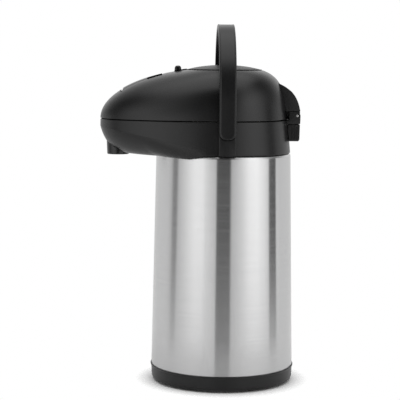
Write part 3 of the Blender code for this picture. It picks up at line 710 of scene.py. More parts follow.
def parting(y):
    """Height of the line between collar and nose cover."""
    return PART_Z - PART_SLOPE * y


# =====================================================================
# vacuum body and base
# =====================================================================
def shell_r(z):
    return SHELL_FOOT_R - SHELL_TAPER * z


# profiles are (r, z)
straight = [(shell_r(z), z) for z in (SHELL_BOTTOM_Z, 60, 120, 180, 240, 260.6)]
profile = straight + [
    (76.5, 262.5), (74.9, 263.4), (45, 274.5), (37.6, 278.0), (36.8, 281), (36.8, 285.0),
    (36.0, 285.0), (36.0, 280.6), (37.0, 277.3), (44.7, 273.7), (74.2, 262.6), (75.6, 261.8),
    (shell_r(260) - SHELL_WALL, 260), (shell_r(SHELL_BOTTOM_Z) - SHELL_WALL, SHELL_BOTTOM_Z)]
shell = revolve("steel_shell", profile, radius=0.9, steps=3, seg=256)
piece(shell, "pot", M_STEEL, "outer_shell")

profile = [
    (0, 28.0), (40, 29.0), (58, 33.5), (65.5, 41), (68.3, 52), (68.3, 240), (65, 253),
    (56, 262.5), (40, 271.2), (36.0, 275.6), (35.6, 279), (35.6, 285.0),
    (34.7, 285.0), (34.7, 278.7), (35.2, 275.1), (39.4, 270.4), (55.4, 261.8), (64.2, 252.4),
    (67.4, 239.8), (67.4, 52.3), (64.8, 41.7), (57.6, 34.5), (40, 30.0), (0, 29.0)]
vessel = revolve("steel_vessel_inside", profile, radius=6.0, steps=4)
piece(vessel, "pot", M_VESSEL, "inner_vessel")

profile = [
    (82.7, 18.6), (82.7, 17.4), (81.8, 16.2), (81.4, 5.6), (80.6, 3.0), (78.2, 1.3),
    (77.4, 1.3), (77.4, 9.0), (9.0, 9.0), (9.0, 4.5), (4.3, 4.5), (4.3, 11.3),
    (79.6, 11.3), (80.3, 16.7), (82.1, 16.7), (82.1, 18.6)]
corner_radii = [0.35, 0.6, 0.8, 4.0, 2.2, 1.2, 0.3, 0.6, 0.5, 0.4, 0.4, 0.4, 0.5, 0.3, 0.2, 0.2]
cup = revolve("base_cup_skin", profile, radius=corner_radii, steps=5, seg=256)
piece(cup, "pot", M_BASE, "base_cup")

# turntable, with moulded stiffening ribs under it
RIB_COUNT = 12
profile = [
    (9.4, 4.6), (9.4, 7.0), (57, 7.0), (59.5, 8.3), (76.6, 8.3), (76.6, 0.9), (75.0, 0.9),
    (75.0, 2.4), (64.0, 2.4), (64.0, 0.9), (61.0, 0.9), (59, 4.6)]
disc = revolve("turntable_disc", profile, radius=0.45, steps=3, seg=192)
ribs = []
for i in range(RIB_COUNT):
    rib = prism(f"rib_{i}", rect(13.5, 59.6, -0.8, 0.8), "z", 2.7, 5.4, bevel=0.3)
    rib.data.transform(Matrix.Rotation(math.radians(360 / RIB_COUNT * i + 15), 4, "Z"))
    ribs.append((JOIN, rib))
piece(carve(disc, ribs), "swivel_base", M_BASE, "turntable")

# non-slip ring, with lands and grooves on its underside
profile = [
    (64.4, 2.1), (74.6, 2.1), (74.6, 0.5), (74.0, 0.0), (72.6, 0.0), (72.2, 0.45),
    (71.2, 0.45), (70.8, 0.0), (68.2, 0.0), (67.8, 0.45), (66.8, 0.45), (66.4, 0.0),
    (65.0, 0.0), (64.4, 0.5)]
ring = revolve("non_slip_ring_ribbed", profile, radius=0.18, steps=2, seg=192)
piece(ring, "swivel_base", M_RUBBER, "non_slip_ring")

profile = [(0, 0), (11.4, 0), (12.2, 0.6), (12.2, 2.6), (7.6, 2.6), (7.6, 0.6), (0, 0.6)]
pad = revolve("bolt_cover_pad", profile, radius=0.3, steps=3, seg=96)
piece(pad, "pot", M_RUBBER, "bolt_cover")


# =====================================================================
# shoulder
# =====================================================================
def near_step(x, y):
    """Whether an outline point crowds the end of the nose cover."""
    step_x = half_width(COVER_END_Y)
    return any(math.hypot(x - side * step_x, y - COVER_END_Y) < 1.0 for side in (-1, 1))


def shoulder_loops():
    columns = [point for point in outline(*OUTLINE_COUNTS) if not near_step(*point)]
    for side in (-1, 1):
        for dy in (0.06, 0.0):
            columns.append((side * half_width(COVER_END_Y + dy), COVER_END_Y + dy))
    columns.sort(key=lambda point: math.atan2(point[1], point[0]) % (2 * math.pi))
    levels, inner_levels = 18, 6
    top = SHOULDER_TOP_Z
    wall_top = top - 0.95
    loops = []
    for x, y in columns:
        over_cover = y <= COVER_END_Y + 0.01
        low = parting(y) if over_cover else COLLAR_BOTTOM_Z
        edge = 0.05 if over_cover else 0.9   # rounding of the lower edge
        # offset from the wall, z
        rows = [(-1.1, top), (-0.62, top - 0.04), (-0.26, top - 0.2), (-0.06, top - 0.5)]
        rows += [(0.0, wall_top + (low + edge - wall_top) * i / levels) for i in range(levels)]
        rows += [(0.0, low + edge), (-0.06 * edge, low + 0.6 * edge),
                 (-0.3 * edge, low + 0.22 * edge), (-0.95 * edge, low)]
        rows += [(-WALL, low + (top - low) * i / inner_levels) for i in range(inner_levels + 1)]
        loops.append([on_wall(x, y, z, offset) for offset, z in rows])
    return loops


def pivot_bore():
    return rod_x("bore", PIVOT_Y, PIVOT_Z, 6.4, -90, 90)


def make_shoulder():
    shoulder = carve(loft("shoulder_skin", shoulder_loops()), [(CUT, pivot_bore())])
    half_pad = 9.3
    for side in (1, -1):
        face = rect(STRAP_Y - half_pad, STRAP_Y + half_pad, COLLAR_BOTTOM_Z + 0.2, 301.0)
        # the corners run bottom, bottom, top, top
        pad = prism("pad", face, "x", *on_side(side, 74.2, 79.2), bevel=0.55)
        shoulder = carve(shoulder, [(JOIN, carve(pad, [(CUT, pivot_bore())]))])
    profile = [(46.0, 283.0), (46.0, 285.2), (74.4, 285.2), (74.4, 265.2), (72.2, 265.2),
               (72.2, 283.0)]
    deck = revolve("deck", profile, radius=0.4, steps=2)
    strike = box("strike", -8, 8, -140.0, -121.2, 298.8, 301.0, bevel=0.3)
    shoulder = carve(shoulder, [(JOIN, deck), (JOIN, strike)])
    # a notch in the collar's lower edge, on the nose side of each handle pad
    notch = rounded_rect(3.9, 8.2, 1.0, centre=(-10.45, 264.9), per=4)
    cuts = [(CUT, prism("notch", notch, "x", *on_side(side, 75.5, 84.0))) for side in (1, -1)]
    piece(carve(shoulder, cuts), "pot", M_COLLAR, "shoulder")


make_shoulder()

# a near-black strip stands behind the seam: painted shade in the gap between lid and shoulder
SEAM_SHADE_LOW_Z, SEAM_SHADE_TOP_Z = 299.6, 302.0
loops = []
for outer, inner in zip(inset_outline(OUTLINE_COUNTS, 1.35), inset_outline(OUTLINE_COUNTS, 2.2)):
    loops.append([(*outer, SEAM_SHADE_LOW_Z), (*outer, SEAM_SHADE_TOP_Z),
                  (*inner, SEAM_SHADE_TOP_Z), (*inner, SEAM_SHADE_LOW_Z)])
piece(loft("seam_shade_strip", loops), "pot", M_SHADE)


# ---- cover under the nose ----
def belly_bottom(y):
    """Height of the cover's lowest line."""
    if y < -44:
        return 259.8 + 0.0333 * (-44 - y)
    return 259.8 + 3.9 * smooth(min((y + 44) / 22, 1.0))


def cover_section(x, y, thickness, count):
    """The cover's section as (r, z) from its top edge inwards, moved in by thickness."""
    radius = math.hypot(x, y)
    top, low = parting(y) - 0.04, belly_bottom(y)
    depth = top - low
    reach = clamp(0.92 * (radius - 78.4), 0.3, 29.0)
    wall = math.hypot(*on_wall(x, y, top, 0.0)[:2])
    start = math.radians(18) * smooth(clamp((-y - 45) / 70))
    out = []
    for i in range(count + 1):
        turn = start + (math.pi / 2 - start) * i / count
        across = max(math.cos(turn) / math.cos(start), 0.0)
        down = (math.sin(turn) - math.sin(start)) / (1 - math.sin(start))
        nr, nz = math.cos(turn) / reach, -math.sin(turn) / depth
        length = math.hypot(nr, nz)
        out.append((wall - reach + reach * across**1.03 - thickness * nr / length,
                    min(top - depth * down - thickness * nz / length, top - 0.02 * i)))
    return out


def resample(points, count):
    """Points at even spacing along a line."""
    pairs = list(zip(points, points[1:]))
    lengths = [math.hypot(end[0] - start[0], end[1] - start[1]) for start, end in pairs]
    total = sum(lengths)
    out = []
    for i in range(count):
        distance = total * i / (count - 1)
        for (start, end), length in zip(pairs, lengths):
            if distance <= length + 1e-9:
                share = min(distance / length, 1.0) if length else 0.0
                out.append(tuple(start[k] + share * (end[k] - start[k]) for k in (0, 1)))
                break
            distance -= length
    return out


def make_nose_cover():
    columns = [point for point in outline(*OUTLINE_COUNTS) if point[1] < COVER_END_Y - 0.6]
    end_y = COVER_END_Y - 0.05
    columns += [(side * half_width(end_y), end_y) for side in (-1, 1)]
    columns.sort(key=lambda point: math.atan2(point[1], point[0]))
    loops = []
    for x, y in columns:
        thickness = clamp(0.8 * (math.hypot(x, y) - COVER_GAP_R), 0.9, 2.0)
        outer = resample(cover_section(x, y, 0.0, 60), 34)
        # a small lip along the parting line
        lip_r, lip_z = outer[0]
        outer = [(lip_r - 0.07, lip_z), (lip_r - 0.015, lip_z - 0.03)] + outer[1:]
        edge_z = belly_bottom(y) + 0.1
        inner = resample(cover_section(x, y, thickness, 24), 12)
        inner = [(max(r, COVER_GAP_R + 0.03 * (12 - i)),
                  max(z, edge_z + thickness + 0.09 * (12 - i))) for i, (r, z) in enumerate(inner)]
        edge = [(COVER_GAP_R + 0.25, edge_z - 0.02), (COVER_GAP_R, edge_z + 0.25),
                (COVER_GAP_R, edge_z + thickness)]
        loops.append([at_radius(x, y, r, z) for r, z in outer + edge + inner[::-1]])
    cover = loft("nose_cover_skin", loops, cyclic=False)
    spout_hole = rod_z("spout_hole", 0, SPOUT_Y, 13.6, 250, 300, seg=96)
    piece(carve(cover, [(CUT, spout_hole)]), "pot", M_COLLAR, "nose_cover")


make_nose_cover()

# ---- mouth, siphon and spout ----
profile = [(34.9, 285.3), (34.9, 287.3), (40.5, 287.3), (40.5, 285.3)]
seal = revolve("mouth_seal", profile, radius=0.7, steps=4)
piece(seal, "pot", M_SILICONE, "mouth_gasket")

profile = [(33.2, 287.6), (33.2, 298.0), (43.4, 298.0), (43.4, 287.6)]
carrier = revolve("siphon_carrier", profile, radius=0.6, steps=3)
block = [(-8, -33.6), (8, -33.6), (8, -20), (5, -16.5), (-5, -16.5), (-8, -20)]
carrier = carve(carrier, [
    (JOIN, prism("block", block, "z", 281.0, 296.6, bevel=0.5)),
    (CUT, rod_z("ball_chamber", 0, SIPHON_Y, 4.9, 285.2, 296.0)),
    (CUT, rod_z("tube_socket", 0, SIPHON_Y, 5.3, 278, 285.3)),
    (CUT, prism("outlet", circle(0, HOSE_Z, 3.3, 32), "y", -46, -23))])
piece(carrier, "pot", M_GREY, "siphon_ring")

profile = [(3.6, 36.0), (3.6, 284.6), (5.0, 284.6), (5.0, 36.0)]
tube = revolve("siphon_tube_steel", profile, radius=0.3, steps=2, seg=48, centre=(0, SIPHON_Y))
piece(tube, "pot", M_BRIGHT, "siphon_tube")

BALL_R, BALL_Z = 4.1, 289.4
profile = [(BALL_R * math.sin(math.radians(a)) if 0 < a < 180 else 0,
            BALL_Z - BALL_R * math.cos(math.radians(a))) for a in range(0, 181, 9)]
ball = revolve("spill_ball", profile, seg=40, centre=(0, SIPHON_Y))
piece(ball, "valve_ball", M_BRIGHT, "spill_valve_ball")

path = [(-43.8, HOSE_Z), (-47.0, 292.7)]
path += [(-47.0 - 53.0 * i / 10, 292.7 - 2.7 * i / 10) for i in range(1, 11)]
piece(hose("delivery_hose", path + [(-108.8, 289.6)]), "pot", M_GREY, "delivery_pipe")

BEND_R = 9.0
path = [(SPOUT_Y + BEND_R - BEND_R * math.sin(math.radians(a)),
         280.4 + BEND_R * math.cos(math.radians(a))) for a in range(0, 91, 9)]
path = [(-109.2, 289.58)] + path + [(SPOUT_Y, 264.5)]
piece(hose("spout_bend", path), "pot", M_GREY, "spout_elbow")

profile = [(12.2, 261.0), (12.5, 262.0), (13.3, 279.5), (13.3, 283.0), (11.2, 283.0),
           (10.2, 261.6), (10.6, 261.0)]
corner_radii = [0.4, 0.5, 1.0, 0.3, 0.3, 0.3, 0.4]
nozzle = revolve("spout_cup", profile, radius=corner_radii, steps=4, centre=(0, SPOUT_Y))
piece(nozzle, "pot", M_GLOSS, "spout_nozzle")

# =====================================================================
# lid
# =====================================================================
SEAM_EDGE = ((-1.1, 0.0), (-0.6, 0.04), (-0.25, 0.2), (-0.06, 0.5))  # offset, rise
RIM_EDGE = ((0.32, 0.0), (0.1, 0.14), (0.01, 0.4), (0.0, 0.8))       # offset, drop
WELL_LOW_Z = 328.0


def lid_loop(x, y):
    radius = math.hypot(x, y)
    outer = dome_curve(x, y, levels=48, inset=0.0, top_r=RIM_R + 0.7, spacing=1.7)
    inner = dome_curve(x, y, levels=18, inset=WALL, top_r=RIM_R + WALL + 0.4, spacing=1.2)
    inner.reverse()
    rim_z = outer[-1][2]
    loop = [at_radius(x, y, radius + offset, SEAM_Z + rise) for offset, rise in SEAM_EDGE]
    loop += outer[1:]
    loop += [at_radius(x, y, RIM_R + offset, rim_z - drop) for offset, drop in RIM_EDGE]
    well = ((RIM_R, 345.0), (RIM_R, WELL_LOW_Z), (RIM_R + 2.0, WELL_LOW_Z),
            (RIM_R + 2.0, inner[0][2] - 0.4))
    loop += [at_radius(x, y, r, z) for r, z in well]
    return loop + inner[1:-1] + [at_radius(x, y, radius - WALL, SEAM_Z)]


def in_lid_recess(face):
    """Whether a face is a steep wall of the lock slot, the button well or the latch hole; these
    walls get painted shade.
    """
    x, y, z = (value / MM for value in face.center)
    in_slot = abs(x) < 4.3 and -57.7 < y < -39.8 and z > 349.5
    in_well = math.hypot(x, y) < RIM_R + 0.2 and z > 340
    in_latch = abs(x) < 11.8 and -118.7 < y < -69.6
    return (in_slot or in_well or in_latch) and abs(face.normal.z) < 0.35


lid = loft("lid_shell", [lid_loop(x, y) for x, y in outline(*OUTLINE_COUNTS)])
latch_hole = rounded_rect(23.2, 48.7, 2.2, centre=(0, -94.15))
lock_slot = rounded_rect(8.26, 17.46, 2.6, centre=(0, -48.73))
lid = carve(lid, [
    (CUT, prism("latch_hole", latch_hole, "z", 330, 372)),
    (CUT, prism("lock_slot", lock_slot, "z", 349.0, 372.3)),
    (CUT, box("lock_window", -9.1, 9.1, -48.3, -39.7, 341.27, 350.3))])
piece(lid, "lid", M_LID, "lid_cover")
# the steep recess walls are painted near-black: painted shade inside the recesses
paint_shade(lid, in_lid_recess)

# plate and plug that close the lid from below
plate = prism("lid_underplate", inset_outline(SOLID_COUNTS, 4.6), "z", 303.4, 305.6, bevel=0.5)
profile = [(AIR_HOLE_R, 306.8), (AIR_HOLE_R, 297.0), (31.8, 297.0), (32.4, 297.8),
           (32.4, 300.8), (42.6, 300.8), (42.6, 304.4), (37.0, 304.4), (37.0, 306.8)]
hook_hole = rounded_rect(13.2, 27.6, 1.5, centre=(0, -107.8))
steps = [(JOIN, revolve("plug", profile, radius=0.4, steps=3)),
         (CUT, rod_z("air", 0, 0, AIR_HOLE_R, 290, 310)),
         (CUT, prism("hook_hole", hook_hole, "z", 300, 308))]
for x, y in LID_SCREWS:
    steps.append((CUT, rod_z("screw_hole", x, y, 2.0, 300, 310, seg=24)))
piece(carve(plate, steps), "lid", M_GREY, "lid_base")

profile = [(33.4, 298.4), (33.4, 300.5), (42.4, 300.5), (42.4, 298.4)]
piece(revolve("plug_seal", profile, radius=0.8, steps=4), "lid", M_SILICONE, "plug_gasket")
profile = [(0, 295.6), (7.5, 295.6), (7.5, 296.7), (0, 296.7)]
flap = revolve("air_flap", profile, radius=0.35, steps=3, seg=64)
piece(flap, "lid", M_SILICONE, "air_valve_flap")

profile = [(0, 301.6), (2.6, 301.6), (3.3, 302.4), (3.3, 303.1), (1.6, 303.1), (1.6, 313.0),
           (0.6, 314.4), (0, 314.4)]
for i, (x, y) in enumerate(LID_SCREWS, 1):
    screw = revolve(f"lid_screw_head_{i}", profile, radius=0.25, steps=2, seg=40, centre=(x, y))
    # cross recess
    drive = [(CUT, box("drive", x - a, x + a, y - b, y + b, 301.0, 302.5))
             for a, b in ((1.7, 0.32), (0.32, 1.7))]
    piece(carve(screw, drive), "lid", M_BRIGHT, f"lid_screw_{i}")

# near-black strips along the lock slot: painted shade in the slot
for side, tag in ((-1, "left"), (1, "right")):
    loops = []
    for i in range(15):
        y = -57.0 + 14.2 * i / 14
        top = ridge_z(y) + 1.0
        # x, drop
        section = ((3.84, 3.4), (4.12, 3.4), (4.12, 0.08), (4.04, 0), (3.92, 0), (3.84, 0.08))
        loops.append([(side * x, y, top - drop) for x, drop in section])
    piece(loft(f"slot_shade_strip_{tag}", loops, cyclic=False), "lid", M_SHADE)

# near-black ring in the gap round the button: painted shade in the gap
profile = [(42.38, 354.0), (42.38, 358.42), (42.98, 358.36), (42.98, 354.0)]
piece(revolve("button_gap_shade", profile, radius=0.1, steps=2, seg=160), "lid", M_SHADE)


# ---- button, bellows, spring ----
def button_z(r):
    return BUTTON_TOP_Z - 5.0 * (r / BUTTON_R) ** 2.2


crown_radii = (0, 4, 8, 12, 16, 20, 24, 28, 31, 34, 36.5, 38.5, 40.0, 41.0)
profile = [(r, button_z(r)) for r in crown_radii] + [
    (BUTTON_R - 0.35, 358.0), (BUTTON_R, 357.2), (BUTTON_R, 346.2), (39.9, 346.2),
    (39.7, 355.2), (32.6, 357.2), (32.6, 352.4), (30.4, 352.4), (30.4, 358.0), (16, 359.9),
    (0, 360.8)]
button = revolve("push_button", profile, radius=0.5, steps=3, seg=160)
piece(button, "button", M_BUTTON, "pump_button")
# the button's side wall inside its gap is painted near-black: painted shade in the gap
paint_shade(button, lambda face: math.hypot(face.center.x, face.center.y) > 41.3 * MM
       and abs(face.normal.z) < 0.6)

BELLOWS_LOW_Z, BELLOWS_TOP_Z, FOLDS = 307.2, 351.9, 5
BELLOWS_HEIGHT = BELLOWS_TOP_Z - BELLOWS_LOW_Z
BELLOWS_WALL = 1.3


def press(obj):
    """Gives the piece a mesh of its own."""
    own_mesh(obj)


pitch = BELLOWS_HEIGHT / FOLDS
folds = []
for i in range(FOLDS):
    folds.append((34.0, BELLOWS_LOW_Z + pitch * (i + 0.5)))
    if i < FOLDS - 1:
        folds.append((28.0, BELLOWS_LOW_Z + pitch * (i + 1)))
flange_z = BELLOWS_TOP_Z - 1.2
profile = [(30.5, BELLOWS_LOW_Z)] + folds + [
    (30.5, BELLOWS_TOP_Z), (22.0, BELLOWS_TOP_Z), (22.0, flange_z), (29.0, flange_z)]
profile += [(r - BELLOWS_WALL, z) for r, z in reversed(folds)]
profile.append((30.5 - BELLOWS_WALL, BELLOWS_LOW_Z))
bellows = revolve("pump_bellows", profile, radius=1.0, steps=4, seg=96)
press(piece(bellows, "lid", M_SILICONE, "bellows"))

SPRING_R, WIRE_R = 16, 0.95
SPRING_LOW_Z, SPRING_TOP_Z = 308.9, 349.0
TURNS, STEPS_PER_TURN = 5, 28
steps_in_all = TURNS * STEPS_PER_TURN
loops = []
for i in range(steps_in_all + 1):
    turn = 2 * math.pi * i / STEPS_PER_TURN
    centre_z = SPRING_LOW_Z + (SPRING_TOP_Z - SPRING_LOW_Z) * i / steps_in_all
    loops.append([(r * math.cos(turn), r * math.sin(turn), z)
                  for r, z in circle(SPRING_R, centre_z, WIRE_R, 10)])
spring = loft("pump_spring", loops, cyclic=False)
press(piece(spring, "lid", M_BRIGHT, "return_spring"))

# ---- lock slider ----
# z, inset of the nub's outline
NUB_LEVELS = (
    (348.2, 0.0), (356.0, 0.0), (358.4, 0.05), (359.8, 0.22), (360.8, 0.5), (361.4, 0.85),
    (361.85, 1.3), (362.15, 1.85), (362.32, 2.45), (362.38, 3.0))
loops = []
for z, inset in NUB_LEVELS:
    section = rounded_rect(7.2 - 2 * inset, 7.8 - 2 * inset, max(2.4 - inset * 0.5, 0.4),
                           centre=(0, -52.9), per=6)
    loops.append([(x, y, z) for x, y in section])
slider = carve(loft("lock_nub", loops, cyclic=False), [
    (JOIN, box("slide", -8.5, 8.5, -59.0, -48.3, 346.0, 348.6, bevel=0.4)),
    (JOIN, box("stem", -5.6, 5.6, -54.0, -48.9, 341.8, 347.0)),
    (JOIN, box("bolt", -5.2, 5.2, -53.2, -45.5, 341.9, 345.7, bevel=0.3))])
piece(slider, "lock", M_GLOSS, "lock_slider")

# ---- latch: a crowned plate that follows the dome, a grip behind it and an arm below ----
PLATE_Y0, PLATE_Y1, PLATE_HALF = -115.8, -87.2, 11.4
PLATE_CORNER = 2.0
PLATE_STEPS_Y, PLATE_STEPS_X = 40, 28


def plate_point(x, y):
    """A grid point pulled inside the rounded corner, with the height of the plate's top."""
    middle = (PLATE_Y0 + PLATE_Y1) / 2
    flat_x = PLATE_HALF - PLATE_CORNER
    flat_y = (PLATE_Y1 - PLATE_Y0) / 2 - PLATE_CORNER
    over_x, over_y = abs(x) - flat_x, abs(y - middle) - flat_y
    beyond = math.hypot(max(over_x, 0), max(over_y, 0)) + min(max(over_x, over_y), 0)
    # the rim is rounded over the last 1.1 mm
    share = clamp((PLATE_CORNER - beyond) / 1.1)
    drop = 1 - math.sqrt(max(0.0, 1 - (1 - share) ** 2))
    if over_x > 0 and over_y > 0 and beyond > PLATE_CORNER:
        scale = PLATE_CORNER / beyond
        x = math.copysign(flat_x + over_x * scale, x)
        y = middle + math.copysign(flat_y + over_y * scale, y - middle)
    crown = 0.75 * (1 - (x / PLATE_HALF) ** 2)
    return x, y, dome_z(x + 1e-4, y) - 0.05 + crown, drop


def border(grid):
    return (grid[0] + [row[-1] for row in grid[1:]] + grid[-1][-2::-1]
            + [row[0] for row in reversed(grid[1:-1])])


def latch_plate():
    bm = bmesh.new()
    top, low = [], []
    for i in range(PLATE_STEPS_Y + 1):
        grid_y = PLATE_Y0 + (PLATE_Y1 - PLATE_Y0) * (i / PLATE_STEPS_Y)
        top.append([])
        low.append([])
        for j in range(PLATE_STEPS_X + 1):
            grid_x = -PLATE_HALF + 2 * PLATE_HALF * (j / PLATE_STEPS_X)
            x, y, z, drop = plate_point(grid_x, grid_y)
            top[i].append(bm.verts.new((x, y, z - drop)))
            low[i].append(bm.verts.new((x, y, z - 3.0)))
    for i in range(PLATE_STEPS_Y):
        for j in range(PLATE_STEPS_X):
            bm.faces.new((top[i][j], top[i][j + 1], top[i + 1][j + 1], top[i + 1][j]))
            bm.faces.new((low[i][j], low[i + 1][j], low[i + 1][j + 1], low[i][j + 1]))
    top_border, low_border = border(top), border(low)
    for i in range(len(top_border)):
        k = (i + 1) % len(top_border)
        bm.faces.new((top_border[i], low_border[i], low_border[k], top_border[k]))
    return finish_mesh("latch_plate", bm)


def latch_grip():
    """The grip pad, with fine cross grooves."""
    steps, groove_pitch = 66, 2.0
    loops = []
    for i in range(steps + 1):
        y = -88.0 + 17.0 * i / steps
        groove = 0.0
        if -86.6 < y < -71.8:
            groove = 0.22 * max(0.0, math.sin(2 * math.pi * (y - PLATE_Y1) / groove_pitch))
        # x, drop
        half = [(10.8, 3.2), (10.8, 0.06), (10.74, 0), (9.6, 0), (9.3, groove), (5.0, groove),
                (0.0, groove)]
        top = ridge_z(y) + 0.42
        section = half + [(-x, drop) for x, drop in reversed(half[:-1])]
        loops.append([(x, y, top - drop) for x, drop in section])
    return loft("latch_grip", loops, cyclic=False)


lever = latch_plate()
piece(latch_grip(), "latch", M_PAD)
# y, z
arm_outline = [(y, ridge_z(y) - 1.2) for y in (-113, -108, -102, -96, -90)]
arm_outline += [(y, ridge_z(y) - 3.6) for y in (-90, -106)]
arm_outline += [(-108.2, 329.4), (-110.0, 318.0), (-110.6, 297.8), (-120.6, 297.8),
                (-120.6, 298.6), (-115.4, 301.4), (-115.0, 318.0), (-115.0, 331.0)]
lever = carve(lever, [
    (JOIN, prism("arm", arm_outline, "x", -5.6, 5.6, bevel=0.4)),
    (CUT, rod_x("pin_hole", LATCH_Y, LATCH_Z, 1.7, -14, 14, seg=32))])
piece(lever, "latch", M_LID, "latch_lever")
pin = rod_x("latch_pin_steel", LATCH_Y, LATCH_Z, 1.4, -13.2, 13.2, seg=40, bevel=0.25)
piece(pin, "lid", M_BRIGHT, "latch_pin")

# pocket under the latch
pocket = [(-119.4, 330.0), (-119.4, 322.5), (-68.6, 338.5), (-68.6, 350.0), (-92, 341.5),
          (-104, 336.0)]
hollow = [(-118.2, 340.0), (-118.2, 324.2), (-69.9, 339.8), (-69.9, 360.0)]
house = carve(prism("latch_pocket", pocket, "x", -14.2, 14.2), [
    (CUT, prism("hollow", hollow, "x", -12.1, 12.1)),
    (KEEP_INSIDE, dome_solid("under_lid", WALL + 0.3)),
    (CUT, box("arm_hole", -6.8, 6.8, -117.8, -93.0, 310, 345)),
    (CUT, rod_x("pin_hole", LATCH_Y, LATCH_Z, 1.75, -20, 20, seg=32))])
piece(house, "lid", M_GLOSS, "latch_housing")
# a near-black strip at the latch notch: painted shade in the notch
lip = [(y, ridge_z(y) - drop) for y, drop in (
    (-118.42, 0.15), (-118.0, 0.15), (-117.65, 0.15), (-117.65, 0.9), (-118.42, 0.9))]
piece(prism("latch_notch_shade", lip, "x", -11.5, 11.5, bevel=0.05), "lid", M_SHADE)

# =====================================================================
# hinge
# =====================================================================
# y, z of the fin's outer curve
FIN_CURVE = [(64.6, 341.9), (68.6, 339.7), (72.1, 337.3), (75.6, 334.6), (79.1, 330.6),
             (82.2, 325.6), (84.6, 319.6), (86.0, 314.0)]


def spline(points, per=4):
    """A smooth line through points."""
    out = []
    last = len(points) - 1
    for i in range(last):
        p0, p1, p2, p3 = points[max(i - 1, 0)], points[i], points[i + 1], points[min(i + 2, last)]
        for j in range(per):
            s = j / per
            out.append(tuple(
                0.5 * (2 * p1[k] + (p2[k] - p0[k]) * s
                       + (2 * p0[k] - 5 * p1[k] + 4 * p2[k] - p3[k]) * s * s
                       + (3 * p1[k] - p0[k] - 3 * p2[k] + p3[k]) * s**3) for k in (0, 1)))
    out.append(points[-1])
    return out


fin = [(60.0, 344.0)] + spline(FIN_CURVE) + [(86.6, 311.6), (60.0, 311.6)]
knuckle = [(86.5, 311.8)] + arc(HINGE_Y, HINGE_Z, KNUCKLE_R, range(0, -181, -10))
knuckle += [(72.0, 305.0), (66.0, 305.0), (66.0, 313.0)]
arm = carve(prism("hinge_fin", fin, "x", -17.6, 17.6, bevel=0.8), [
    (JOIN, prism("knuckle", knuckle, "x", -12.0, 12.0, bevel=0.3)),
    (CUT, dome_solid("dome_cut", -0.05)),
    (CUT, rod_x("pin_cut", HINGE_Y, HINGE_Z, 1.65, -20, 20, seg=40))])
piece(arm, "lid", M_HINGE, "lid_hinge_arm")

ears = [(66.0, 297.0), (86.3, 297.0), (86.6, 301.0)]
ears += arc(HINGE_Y, HINGE_Z, KNUCKLE_R, range(0, 90, 10))
ears += [(80.6, 311.0), (73.7, 311.0), (73.7, 301.2), (66.0, 301.2)]
bracket = carve(prism("hinge_ears", ears, "x", -17.8, 17.8, bevel=0.4), [
    (CUT, box("between_ears", -12.4, 12.4, 60, 92, 301.6, 320)),
    (CUT, collar_solid("collar_cut", 0.1)),
    (CUT, rod_x("knuckle_cut", HINGE_Y, HINGE_Z, 4.4, -12.4, 12.4)),
    (CUT, rod_x("pin_cut", HINGE_Y, HINGE_Z, 1.6, -20, 20, seg=40))])
piece(bracket, "pot", M_HINGE, "hinge_bracket")
pin = rod_x("hinge_pin_steel", HINGE_Y, HINGE_Z, 1.35, -18.1, 18.1, seg=40, bevel=0.3)
piece(pin, "pot", M_BRIGHT, "hinge_pin")

# release tab, with grooves on its face and both sides
tab_outline = fillet([(70.0, 277.6), (84.6, 277.6), (85.8, 279.6), (86.2, 296.4), (70.0, 296.4)],
                     [0, 1.4, 1.4, 0.6, 0], 4)
tab = prism("hinge_release_tab", tab_outline, "x", -17.4, 17.4, bevel=0.5)
steps = [(CUT, collar_solid("collar_cut", 0.35))]
for lift in (2.0, 4.0):
    # the collar widens downwards, so the tab's back is relieved for its whole slide
    swept = collar_solid("swept", 0.2)
    swept.data.transform(Matrix.Translation((0, 0, lift * MM)))
    steps.append((CUT, swept))
for z in (281.0, 284.6, 288.2, 291.8):
    groove = rounded_rect(24, 1.7, 0.8, centre=(0, z + 0.8))
    steps.append((CUT, prism("face_groove", groove, "y", 84.9, 90)))
for side in (1, -1):
    for y in (76.7, 79.6, 82.5):
        groove = rounded_rect(1.5, 14.6, 0.7, centre=(y, 287.0))
        steps.append((CUT, prism("side_groove", groove, "x", *on_side(side, 16.9, 19.0))))
piece(carve(tab, steps), "hinge_release", M_HINGE, "hinge_release_slide")

# =====================================================================
# carry handle: a strap whose raised border runs round both ends
# =====================================================================
ARCH_R = (HANDLE_IN + HANDLE_OUT) / 2
ARCH_Z = HANDLE_TOP_Z - HANDLE_OUT
HALF_THICK = (HANDLE_OUT - HANDLE_IN) / 2
END_R = HANDLE_WIDTH / 2
LEG = ARCH_Z - PIVOT_Z
ARCH_LENGTH = math.pi * ARCH_R
STRAP_LENGTH = 2 * LEG + ARCH_LENGTH
LEG_STEPS, ARCH_STEPS, END_STEPS = 10, 72, 26
STOPS = [LEG * i / LEG_STEPS for i in range(LEG_STEPS)]
STOPS += [LEG + ARCH_LENGTH * i / ARCH_STEPS for i in range(ARCH_STEPS + 1)]
STOPS += [STRAP_LENGTH - LEG * i / LEG_STEPS for i in range(LEG_STEPS - 1, -1, -1)]

# inset from the strap's edge, height out from its middle; from the top round to the underside
STRAP_SECTION = (
    (2.3, HALF_THICK - 0.34), (2.05, HALF_THICK - 0.32), (1.85, HALF_THICK - 0.2),
    (1.65, HALF_THICK - 0.05), (1.4, HALF_THICK), (1.05, HALF_THICK - 0.06),
    (0.7, HALF_THICK - 0.22), (0.42, HALF_THICK - 0.5), (0.2, HALF_THICK - 0.86),
    (0.06, HALF_THICK - 1.3), (0.0, HALF_THICK - 1.8), (0.0, 0.0), (0.0, -HALF_THICK + 1.2),
    (0.06, -HALF_THICK + 0.7), (0.28, -HALF_THICK + 0.3), (0.62, -HALF_THICK + 0.07),
    (1.05, -HALF_THICK))


